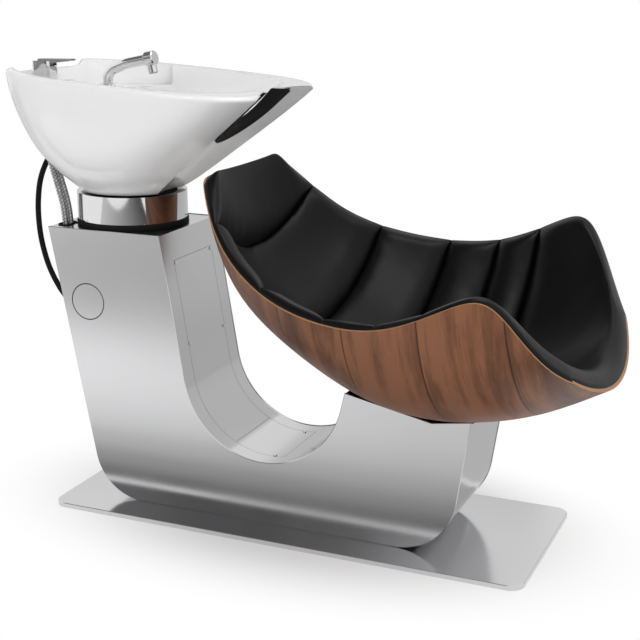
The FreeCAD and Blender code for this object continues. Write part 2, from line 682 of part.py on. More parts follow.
def seat():
    """Shell, channels, saddle and bolts."""
    last_station = CREASES[-1]
    corners = []
    for side in (-1, 1):
        corners.append(corner_cutter(0, SEAT_STEP, side, HEAD_CORNER))
        corners.append(corner_cutter(last_station, last_station - SEAT_STEP, side, LIP_CORNER))
    shell = seat_sheet(0, last_station, 0, SHELL_SHEET).cut(corners)
    for name, first, last in zip(PAD_NAMES, CREASES, CREASES[1:]):
        cushion = pad(first, last)
        save(name, largest(cushion.cut(corners)) if name in (PAD_NAMES[0], PAD_NAMES[-1]) else cushion)
    under = seat_sheet(CREASES[2], CREASES[-1], -TOUCH_CLEARANCE - SADDLE_SHEET, -TOUCH_CLEARANCE)
    half = SADDLE_WIDTH / 2
    saddle = under.common(box(SADDLE_REAR_X, SADDLE_FRONT_X, -half, half, PLATE_THICKNESS, COLUMN_HEIGHT))
    bolts = []
    for x in (RIB_REAR_X + SEAT_BOLT * 3, SADDLE_FRONT_X - SEAT_BOLT * 4):
        for side in (-1, 1):
            spot = Vector(x, side * half / 2, PLATE_THICKNESS)
            hole = rod(spot, Z_AXIS, SEAT_BOLT, COLUMN_HEIGHT)
            top = hole.common(shell).optimalBoundingBox().ZMin + SHELL_SHEET / 2
            base = hole.common(saddle).optimalBoundingBox().ZMin - SEAT_BOLT / 4
            shell = shell.cut(rod(spot, Z_AXIS, SEAT_BOLT, top - spot.z))
            saddle = saddle.cut(hole)
            head = hexagon(Vector(spot.x, spot.y, base - SEAT_BOLT / 2), Z_AXIS, SEAT_BOLT * 1.6, SEAT_BOLT / 2)
            shank = rod(Vector(spot.x, spot.y, base), Z_AXIS, SEAT_BOLT - 2 * RUNNING_CLEARANCE,
                        top - TOUCH_CLEARANCE - base)
            bolts.append(head.fuse(shank))
    save("seat_shell", shell)
    save("seat_saddle", saddle)
    save("seat_bolts", group(bolts))


# Collar and tilt bracket

LID_BORE = TILT_PLATE_RADIUS + 6.0
LUG_OUT = LUG_SPAN / 2
LUG_IN = LUG_OUT - LUG_SHEET
EAR_IN = LUG_OUT + WASHER_SHEET + 2 * RUNNING_CLEARANCE
EAR_OUT = EAR_IN + LUG_SHEET
EAR_WIDTH = 3 * PIN_DIAMETER


def tilt_bolt_places():
    """Bolts that hold the tilt base to the frame's head plate."""
    reach = EAR_WIDTH / 2 + 2 * SEAT_BOLT
    return [Vector(COLUMN_X + i * reach, j * EAR_IN, LID_UNDER) for i in (-1, 1) for j in (-1, 1)]


def ear(y0, y1, z0, up):
    """Upright ear or hanging lug with a round end at the pivot."""
    half = EAR_WIDTH / 2
    block = box(COLUMN_X - half, COLUMN_X + half, y0, y1, min(z0, PIVOT_Z), max(z0, PIVOT_Z))
    eye = rod(Vector(COLUMN_X, y0, PIVOT_Z), Y_AXIS, EAR_WIDTH, y1 - y0)
    bore = rod(Vector(COLUMN_X, y0, PIVOT_Z), Y_AXIS, PIN_DIAMETER + 2 * RUNNING_CLEARANCE * up, y1 - y0)
    return block.fuse(eye).cut(bore).removeSplitter()


def tilt_bracket():
    """Fixed ears, hanging lugs, stub pins, friction washers and nuts."""
    reach = EAR_WIDTH / 2 + 4 * SEAT_BOLT
    base = box(COLUMN_X - reach, COLUMN_X + reach, -EAR_OUT, EAR_OUT, LID_UNDER, LID_UNDER + TILT_PLATE)
    base = base.cut(rod(Vector(COLUMN_X, 0, LID_UNDER), Z_AXIS, WASTE_DIAMETER * 1.4, TILT_PLATE))
    bolts = []
    for spot in tilt_bolt_places():
        base = base.cut(rod(spot, Z_AXIS, SEAT_BOLT, TILT_PLATE))
        head = hexagon(spot + Z_AXIS * TILT_PLATE, Z_AXIS, SEAT_BOLT * 1.6, SEAT_BOLT * 0.6)
        shank = rod(spot - Z_AXIS * HEAD_PLATE, Z_AXIS, SEAT_BOLT - 2 * RUNNING_CLEARANCE, HEAD_PLATE + TILT_PLATE)
        bolts.append(head.fuse(shank))
    for y0, y1 in ((-EAR_OUT, -EAR_IN), (EAR_IN, EAR_OUT)):
        base = base.fuse(ear(y0, y1, LID_UNDER, 0))
    save("tilt_base", base.removeSplitter())
    save("tilt_base_bolts", group(bolts))

    plate = rod(Vector(COLUMN_X, 0, TILT_PLATE_TOP - TILT_PLATE), Z_AXIS, 2 * TILT_PLATE_RADIUS, TILT_PLATE)
    head = plate
    for y0, y1 in ((-LUG_OUT, -LUG_IN), (LUG_IN, LUG_OUT)):
        head = head.fuse(ear(y0, y1, TILT_PLATE_TOP - TILT_PLATE, 1))
    bore = rod(Vector(COLUMN_X, 0, TILT_PLATE_TOP - TILT_PLATE), Z_AXIS, DRAIN_BORE, TILT_PLATE)
    save("tilt_head", head.cut(bore).removeSplitter())

    pins, washers, nuts = [], [], []
    for side in (-1, 1):
        out = Y_AXIS * side
        inner_end = Vector(COLUMN_X, side * (LUG_IN - 2), PIVOT_Z)
        length = EAR_OUT - LUG_IN + 2 + PIN_DIAMETER
        pin = rod(inner_end, out, PIN_DIAMETER, length)
        washer_foot = Vector(COLUMN_X, side * (LUG_OUT + 2 * RUNNING_CLEARANCE), PIVOT_Z)
        pins.append(pin)
        washers.append(tube(washer_foot, out, 2 * PIN_DIAMETER, PIN_DIAMETER + 2 * RUNNING_CLEARANCE, WASHER_SHEET))
        nut = hexagon(Vector(COLUMN_X, side * EAR_OUT, PIVOT_Z), out, 1.5 * PIN_DIAMETER, PIN_DIAMETER * 0.6)
        nuts.append(nut.cut(rod(Vector(COLUMN_X, 0, PIVOT_Z), out, PIN_DIAMETER, PEDESTAL_WIDTH)))
    save("tilt_pins", group(pins))
    save("friction_washers", group(washers))
    save("tilt_nuts", group(nuts))


def collar():
    """Chrome skirt under the basin, hung from the tilt plate, and the rubber seal below it."""
    outer, inner = COLLAR_RADIUS, COLLAR_RADIUS - COLLAR_WALL
    top_in = TILT_PLATE_RADIUS + TOUCH_CLEARANCE
    skirt = revolved([(inner, COLLAR_FOOT), (outer, COLLAR_FOOT), (outer, COLLAR_TOP), (top_in, COLLAR_TOP),
                      (top_in, COLLAR_TOP - COLLAR_WALL), (inner, COLLAR_TOP - COLLAR_WALL)], COLUMN_X, 0)
    save("collar", skirt)
    wide = COLLAR_RADIUS + COLLAR_WALL
    seal_top = COLLAR_FOOT - TOUCH_CLEARANCE
    seal = revolved([(wide - SEAL_WALL, LID_TOP), (wide, LID_TOP), (wide - 1, LID_TOP + SEAL_HEIGHT / 3),
                     (wide, LID_TOP + SEAL_HEIGHT * 0.6), (outer, seal_top), (inner, seal_top),
                     (wide - SEAL_WALL, LID_TOP + SEAL_HEIGHT * 0.6)], COLUMN_X, 0)
    save("collar_seal", seal)


# Basin

def egg(level, inset=0.0):
    """Smooth closed section: a blunt front, a round rear, on a plane that slopes along X."""
    middle, height, slope, front, rear, half, front_power, rear_power = level
    front, rear, half = front - inset, rear - inset, half - inset
    points = []
    steps = 6
    for quarter in range(4):
        power = front_power if quarter in (0, 3) else rear_power
        length = front if quarter in (0, 3) else rear
        for i in range(steps):
            share = i / steps
            bias = power / 2
            share = share ** bias / (share ** bias + (1 - share) ** bias)
            angle = (quarter + share) * math.pi / 2
            along, across = math.cos(angle), math.sin(angle)
            x = math.copysign(abs(along) ** (2 / power), along) * length
            y = math.copysign(abs(across) ** (2 / power), across) * half
            points.append(Vector(COLUMN_X + middle + x, y, BASIN_FOOT + height + slope * x))
    curve = Part.BSplineCurve()
    curve.interpolate(Points=points, PeriodicFlag=True, Parameters=[float(i) for i in range(len(points) + 1)])
    return Part.Wire(curve.toShape())


# Levels of the outer hull, from the foot up: middle from the column's axis, height, slope along X,
# length to the front and to the rear, half width, bluntness of the front and of the rear
RIM_HEIGHT = RIM_Z - BASIN_FOOT
HULL = [
    (0, 0, 0, BASIN_FOOT_RADIUS, BASIN_FOOT_RADIUS, BASIN_FOOT_RADIUS, 2.0, 2.0),
    (8, 28, -0.01, 140, 136, 150, 2.2, 2.1),
    (18, 76, -0.025, 186, 197, 192, 2.5, 2.2),
    (40, 136, -0.045, 234, 260, 217, 2.9, 2.3),
    (60, 190, -0.058, 276, 300, 230, 3.2, 2.4),
    (71, RIM_HEIGHT - RIM_ROLL, RIM_SLOPE, 306, 314, 236, 3.4, 2.5),
]
BOWL = [
    (0, BOWL_FLOOR, 0, 40, 40, 40, 2.0, 2.0),
    (4, BOWL_FLOOR + 8, 0, 84, 62, 88, 2.1, 2.1),
    (20, 76, -0.02, 132, 70, 164, 2.3, 2.4),
    (40, 140, -0.042, 182, 96, 196, 2.5, 2.7),
    (60, 196, -0.06, 222, 117, 210, 2.7, 2.8),
    (70, RIM_HEIGHT + 40, RIM_SLOPE, 280, 126, 222, 2.9, 2.8),
]


def between(levels):
    """Levels with smooth steps added between them."""
    curves = []
    for columns in ((0, 1, 2), (3, 4, 5), (6, 7, 7)):
        curve = Part.BSplineCurve()
        curve.interpolate(Points=[Vector(*[level[column] for column in columns]) for level in levels],
                          Parameters=[float(i) for i in range(len(levels))])
        curves.append(curve)
    steps = []
    for i in range(3 * len(levels) - 2):
        place, size, power = [curve.value(i / 3) for curve in curves]
        steps.append((place.x, place.y, place.z, size.x, size.y, size.z, power.x, power.y))
    return steps


def smooth_solid(wires):
    """Solid lofted through closed sections."""
    solid = Part.makeLoft(wires, True, False, False, 3)
    if solid.Volume < 0:
        solid.reverse()
    return solid


def hull(grow=0.0):
    """Outer form of the basin with a rolled rim."""
    middle, height, slope, front, rear, half, front_power, rear_power = HULL[-1]
    wires = [egg(level, -grow) for level in between(HULL)]
    for rise, draw in ((0.4, 0.1), (0.75, 0.4), (1.0, 1.0)):
        top = (middle, height + RIM_ROLL * rise, slope, front, rear, half, front_power, rear_power)
        wires.append(egg(top, RIM_ROLL * draw * 0.8 - grow))
    return smooth_solid(wires)


def bowl(shrink=0.0):
    """Room inside the bowl."""
    return smooth_solid([egg(level, shrink) for level in between(BOWL)])


def scoop(grow=0.0):
    """Large cylinder that hollows the sloping front between the horns."""
    low = Vector(COLUMN_X + SCOOP_LOW_X, 0, BASIN_FOOT + SCOOP_LOW_RISE)
    high = Vector(COLUMN_X + SCOOP_HIGH_X, 0, BASIN_FOOT + RIM_HEIGHT - SCOOP_HIGH_DROP)
    run = (high - low).normalize()
    normal = Vector(run.z, 0, -run.x)
    start = high + normal * (SCOOP_RADIUS - SCOOP_DEPTH) - run * CUT_REACH
    return rod(start, run, 2 * (SCOOP_RADIUS - grow), 2 * CUT_REACH)


def notch(half_width):
    """U-shaped channel along X through the front wall."""
    level = RIM_Z - NOTCH_BOTTOM + NOTCH_HALF_WIDTH
    x0, x1 = COLUMN_X + NOTCH_REAR_X, COLUMN_X + CUT_REACH
    round_part = rod(Vector(x0, 0, level), X_AXIS, 2 * half_width, x1 - x0)
    return round_part.fuse(box(x0, x1, -half_width, half_width, level, RIM_Z + NOTCH_BOTTOM)).removeSplitter()


def basin():
    """Ceramic basin, its neck gasket, and the foot gasket."""
    outside, inside = hull(), bowl()
    ceramic = outside.cut(scoop())

    deck, upper = list(HULL[-2]), list(HULL[-1])
    deck[1:3], upper[1:3] = (DECK_TOP - BASIN_FOOT, 0), (RIM_HEIGHT + 3 * BASIN_WALL, 0)
    recess = smooth_solid([egg(deck, BASIN_WALL + 3), egg(upper, BASIN_WALL)])
    fade = (DECK_END, 0, 0, DECK_FADE, SCOOP_RADIUS, PEDESTAL_WIDTH, 2.0, 2.0)
    recess = recess.common(Part.Face(egg(fade)).extrude(Vector(0, 0, COLUMN_HEIGHT)))
    ceramic = ceramic.cut(recess).cut(inside)

    rear, lowered = COLUMN_X + REAR_STEP_X, RIM_Z + REAR_RIM_RISE
    far, high = COLUMN_X - CUT_REACH, RIM_Z + CUT_REACH
    step = side_prism([(rear, high), (rear, lowered + 20), (rear - 8, lowered + 4), (rear - 20, lowered),
                       (far, lowered), (far, high)], -CUT_REACH, CUT_REACH)
    ceramic = ceramic.cut(step)

    under = DECK_TOP - DECK_THICKNESS
    profile = [(COLUMN_X + x, under - depth) for x, depth in POCKET]
    pocket = side_prism(profile, -POCKET_HALF_WIDTH, POCKET_HALF_WIDTH)
    ceramic = ceramic.cut(pocket)
    ceramic = ceramic.cut(notch(NOTCH_HALF_WIDTH))
    drain = rod(Vector(COLUMN_X, 0, BASIN_FOOT - 1), Z_AXIS, DRAIN_BORE, BOWL_FLOOR + 40)
    holes = [(MIXER_X, MIXER_Y, MIXER_SHANK + 2), (SPRAY_X, SPRAY_Y, SPRAY_TUBE + 8)]
    for x, y, diameter in holes:
        ceramic = ceramic.cut(rod(Vector(COLUMN_X + x, y, under - 5), Z_AXIS, diameter, DECK_THICKNESS + 10))
    save("basin", largest(ceramic.cut(drain)))

    above = box(COLUMN_X, COLUMN_X + CUT_REACH, -CUT_REACH, CUT_REACH, BASIN_FOOT, RIM_Z - GASKET_BELOW_RIM)
    liner = notch(NOTCH_HALF_WIDTH - TOUCH_CLEARANCE).cut(notch(NOTCH_HALF_WIDTH - GASKET_THICK)).common(above)
    shell = hull(GASKET_LIP).cut(scoop(GASKET_LIP)).cut(bowl(GASKET_LIP))
    flange = notch(NOTCH_HALF_WIDTH + GASKET_FLANGE).cut(notch(NOTCH_HALF_WIDTH - GASKET_THICK)).common(above)
    outer_lip = flange.common(shell).cut(hull(TOUCH_CLEARANCE).cut(scoop(TOUCH_CLEARANCE)).cut(bowl(TOUCH_CLEARANCE)))
    rubber = liner.common(shell).fuse(outer_lip)
    save("neck_gasket", rubber.removeSplitter())

    pad_ring = tube(Vector(COLUMN_X, 0, TILT_PLATE_TOP), Z_AXIS, 2 * TILT_PLATE_RADIUS, DRAIN_BORE, GASKET_SHEET)
    save("basin_gasket", pad_ring)


def drain():
    """Flange in the bowl, its nut under the tilt plate, the lift-out hair strainer, waste hose and floor stub."""
    foot = TILT_PLATE_TOP - TILT_PLATE - 16
    tail, bore, wide = DRAIN_TAIL / 2, DRAIN_TAIL / 2 - WASTE_WALL, DRAIN_FLANGE / 2
    seat_z = BASIN_FOOT + BOWL_FLOOR + TOUCH_CLEARANCE
    save("drain_flange", revolved([(bore, foot), (tail, foot), (tail, seat_z), (wide, seat_z), (wide, seat_z + 1.5),
                                   (bore, seat_z + 2.5)], COLUMN_X, 0))
    nut = hexagon(Vector(COLUMN_X, 0, foot + 4), Z_AXIS, DRAIN_TAIL * 1.35, 12)
    save("drain_nut", nut.cut(rod(Vector(COLUMN_X, 0, foot), Z_AXIS, DRAIN_TAIL, 40)))

    half = STRAINER_DIAMETER / 2
    base = seat_z + 2.5 + TOUCH_CLEARANCE
    dome = revolved([(0, base), (half, base), (half, base + 2), (half * 0.6, base + 6), (0, base + 7)], COLUMN_X, 0)
    for i in range(8):
        angle = i * math.pi / 4
        spot = Vector(COLUMN_X + half * 0.58 * math.cos(angle), half * 0.58 * math.sin(angle), base - 1)
        dome = dome.cut(rod(spot, Z_AXIS, 8, 20))
    spigot = tube(Vector(COLUMN_X, 0, base - 12), Z_AXIS, 2 * bore - 2, 2 * bore - 6, 12.5)
    save("hair_strainer", dome.fuse(spigot).removeSplitter())

    stub_top = PLATE_THICKNESS + 60
    save("waste_stub", tube(Vector(WASTE_X, 0, 0), Z_AXIS, WASTE_DIAMETER, WASTE_DIAMETER - 2 * WASTE_WALL, stub_top))
    start, end = Vector(COLUMN_X, 0, foot - TOUCH_CLEARANCE), Vector(WASTE_X, 0, stub_top)
    points = []
    for along, down in ((0, 0), (0, 0.18), (0.25, 0.42), (0.75, 0.66), (1, 0.85), (1, 1)):
        points.append(Vector(start.x + (end.x - start.x) * along, 0, start.z + (end.z - start.z) * down))
    save("waste_hose", hose("waste_hose", points, DRAIN_TAIL, DRAIN_TAIL - 2 * WASTE_WALL))


# Mixer

def mixer():
    """Boxy single-lever mixer: body on the deck, swivelling cap, lifting lever."""
    x, y, z = COLUMN_X + MIXER_X, MIXER_Y, DECK_TOP
    half_length, half_width = MIXER_LENGTH / 2, MIXER_WIDTH / 2
    block = box(x - half_length, x + half_length, y - half_width, y + half_width, z, z + MIXER_HEIGHT)
    upright = [edge for edge in block.Edges if abs(edge.Vertexes[0].Z - edge.Vertexes[-1].Z) > 1]
    block = block.makeFillet(MIXER_WIDTH / 5, upright)
    room = rod(Vector(x, y, z + 14), Z_AXIS, MIXER_WIDTH - 8, MIXER_HEIGHT)
    shank_length = DECK_THICKNESS + 22
    shank = tube(Vector(x, y, z - shank_length), Z_AXIS, MIXER_SHANK, MIXER_SHANK - 6, shank_length)
    save("mixer_body", block.cut(room).fuse(shank).removeSplitter())
    core_top = z + MIXER_HEIGHT - 2
    save("mixer_cartridge", rod(Vector(x, y, z + 14), Z_AXIS, MIXER_WIDTH - 8 - 2 * TOUCH_CLEARANCE, core_top - z - 14))
    under = z - DECK_THICKNESS
    nut = hexagon(Vector(x, y, under - 10), Z_AXIS, MIXER_SHANK * 1.3, 10)
    save("mixer_nut", nut.cut(rod(Vector(x, y, under - 20), Z_AXIS, MIXER_SHANK, 40)))

    cap_foot = z + MIXER_HEIGHT + TOUCH_CLEARANCE
    cap = box(x - half_length, x + half_length, y - half_width, y + half_width, cap_foot, cap_foot + CAP_HEIGHT)
    corners = [edge for edge in cap.Edges if abs(edge.Vertexes[0].Z - edge.Vertexes[-1].Z) > 1]
    cap = cap.makeFillet(MIXER_WIDTH / 5, corners)
    slot = LEVER_WIDTH / 2 + TOUCH_CLEARANCE
    pivot = Vector(x - half_length + CAP_HEIGHT, y, cap_foot + CAP_HEIGHT / 2 + 1)
    cap = cap.cut(box(x - half_length - 1, x + half_length + 1, y - slot, y + slot, cap_foot + 1.5, cap_foot + 40))
    pin_bore = rod(pivot - Y_AXIS * half_width * 2, Y_AXIS, LEVER_PIN, half_width * 4)
    save("mixer_cap", cap.cut(pin_bore))
    save("lever_pin", rod(pivot - Y_AXIS * (half_width - 1), Y_AXIS, LEVER_PIN, 2 * half_width - 2))
    root = CAP_HEIGHT / 2 - 2
    blade_foot = pivot.z + root - LEVER_SHEET
    profile = [(pivot.x, blade_foot), (pivot.x + LEVER_LENGTH, blade_foot + 9),
               (pivot.x + LEVER_LENGTH, blade_foot + 13), (pivot.x, blade_foot + LEVER_ROOT)]
    blade = side_prism(profile, y - LEVER_WIDTH / 2, y + LEVER_WIDTH / 2)
    knuckle = rod(pivot - Y_AXIS * LEVER_WIDTH / 2, Y_AXIS, 2 * root + 2, LEVER_WIDTH)
    lever = blade.fuse(knuckle).removeSplitter()
    save("mixer_lever", lever.cut(rod(pivot - Y_AXIS * 30, Y_AXIS, LEVER_PIN + 2 * RUNNING_CLEARANCE, 60)))


# Hand spray

def spray():
    """Arched hand spray in its deck holder, with the end of its hose below."""
    x, y, z = COLUMN_X + SPRAY_X, SPRAY_Y, DECK_TOP
    wide, hole = HOLDER_FLANGE / 2, (SPRAY_TUBE + 7) / 2
    bore = SPRAY_TUBE / 2 + TOUCH_CLEARANCE
    throat = HOSE_DIAMETER / 2 + 1.5
    floor = z - 6
    save("spray_holder", revolved([(throat, z - DECK_THICKNESS - 8), (hole, z - DECK_THICKNESS - 8), (hole, z),
                                   (wide, z), (wide, z + 3), (bore + 2, z + 10), (bore, z + 10), (bore, floor),
                                   (throat, floor)], x, y))
    base = Vector(x, y, floor + TOUCH_CLEARANCE)
    knee = Vector(x, y, z + SPRAY_RISE * 0.62)
    bend = Vector(x + SPRAY_REACH * 0.5, y, z + SPRAY_RISE * 0.95)
    tip = Vector(x + SPRAY_REACH, y, z + SPRAY_RISE * 1.12)
    path = Part.Wire(rounded_path([base, knee, bend, tip], [0, SPRAY_RISE * 0.5, SPRAY_RISE * 1.6, 0]))
    handle = path.makePipeShell([Part.Wire(Part.makeCircle(SPRAY_TUBE / 2, base, Z_AXIS))], True, False)
    save("spray_handle", handle)
    run = (tip - bend).normalize()
    down = Vector(run.z, 0, -run.x)
    collar_ring = rod(tip, run, SPRAY_HEAD, SPRAY_HEAD * 0.7)
    collar_ring = collar_ring.makeChamfer(2, [edge for edge in collar_ring.Edges if edge.Closed])
    neck = tip + run * (SPRAY_HEAD * 0.35)
    cup = rod(neck, down, SPRAY_HEAD * 0.62, SPRAY_HEAD * 0.9)
    save("spray_head", collar_ring.fuse(cup).removeSplitter())
    face_start = neck + down * SPRAY_HEAD * 0.9
    save("spray_face", rod(face_start, down, SPRAY_HEAD * 0.56, 3))
    tail_end = SPRAY_HOSE[0].z + 2 * TOUCH_CLEARANCE
    save("spray_tail", rod(Vector(x, y, tail_end), Z_AXIS, HOSE_DIAMETER, base.z - tail_end))


# Hoses

PORT_X = COLUMN_BACK + 20.0
PORT_Y = -80.0
PORT_HALF_LENGTH = 10.0
GROMMET_HALF_WIDTH = 12.5
WASTE_X = RAIL_REAR_X + 93.0
UNION_TOP = LID_UNDER - 30.0

SPRAY_HOSE = [
    Vector(COLUMN_X + SPRAY_X, SPRAY_Y, DECK_TOP - DECK_THICKNESS - 12),
    Vector(COLUMN_X + SPRAY_X - 1.5, SPRAY_Y - 1.5, DECK_TOP - DECK_THICKNESS - 52),
    Vector(COLUMN_X - 112, 33, DECK_TOP - DECK_THICKNESS - 84),
    Vector(COLUMN_X - 146, -2, DECK_TOP - DECK_THICKNESS - 93),
    Vector(COLUMN_X - 178, -34, DECK_TOP - DECK_THICKNESS - 112),
    Vector(COLUMN_X - 197, -54, LID_TOP + 91),
    Vector(COLUMN_X - 203, -60, LID_TOP + 29),
    Vector(COLUMN_X - 200, -61, LID_TOP - 39),
    Vector(COLUMN_X - 182, -61, LID_TOP - 107),
    Vector(COLUMN_X - 148, -60, LID_TOP - 165),
    Vector(COLUMN_X - 96, -60, LID_TOP - 205),
]
SPRAY_ENTRY = SPRAY_HOSE[-1]
SPRAY_ENTRY_RUN = (SPRAY_HOSE[-1] - SPRAY_HOSE[-2]).normalize()


def supply_points(side):
    """Route of one supply hose from the mixer's shank to its union below the column lid."""
    top = Vector(COLUMN_X + MIXER_X, MIXER_Y + side * 6.6, DECK_TOP - TOUCH_CLEARANCE)
    shift = Vector(side * 2, side * 7, 0)
    return [
        top,
        top - Z_AXIS * 62 + Vector(0.5, 0, 0),
        Vector(COLUMN_X - 158, -68, DECK_TOP - 118) + shift,
        Vector(COLUMN_X - 134, -77, DECK_TOP - 178) + shift,
        Vector(PORT_X - 1, PORT_Y, LID_TOP + 38) + shift,
        Vector(PORT_X + 3, PORT_Y, UNION_TOP) + shift,
    ]


def hoses():
    """Supply hoses with their unions, and the spray hose with its grommet."""
    unions = []
    for name, side in (("hot_supply_hose", 1), ("cold_supply_hose", -1)):
        points = supply_points(side)
        save(name, hose(name, points, HOSE_DIAMETER))
        end = points[-1]
        unions.append(hexagon(end - Z_AXIS * 1.5 * HOSE_DIAMETER, Z_AXIS, HOSE_DIAMETER, 1.45 * HOSE_DIAMETER))
    save("inlet_unions", group(unions))
    save("spray_hose", hose("spray_hose", SPRAY_HOSE, HOSE_DIAMETER))
    ring_start = SPRAY_ENTRY - SPRAY_ENTRY_RUN * HOSE_DIAMETER
    sleeve = tube(ring_start, SPRAY_ENTRY_RUN, HOSE_DIAMETER + 7, HOSE_DIAMETER + 2 * TOUCH_CLEARANCE, 1.5 * HOSE_DIAMETER)
    save("rear_grommet", sleeve)


def build():
    """Make every node."""
    belly = seat_belly(SHELL_CLEARANCE)
    floor_plate()
    pedestal(belly)
    column_lid()
    inner_frame(seat_belly(SADDLE_SHEET + 2 * TOUCH_CLEARANCE))
    seat()
    tilt_bracket()
    collar()
    basin()
    drain()
    mixer()
    spray()
    hoses()


build()
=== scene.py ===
import json
import math

import bpy
import numpy as np
from mathutils import Vector

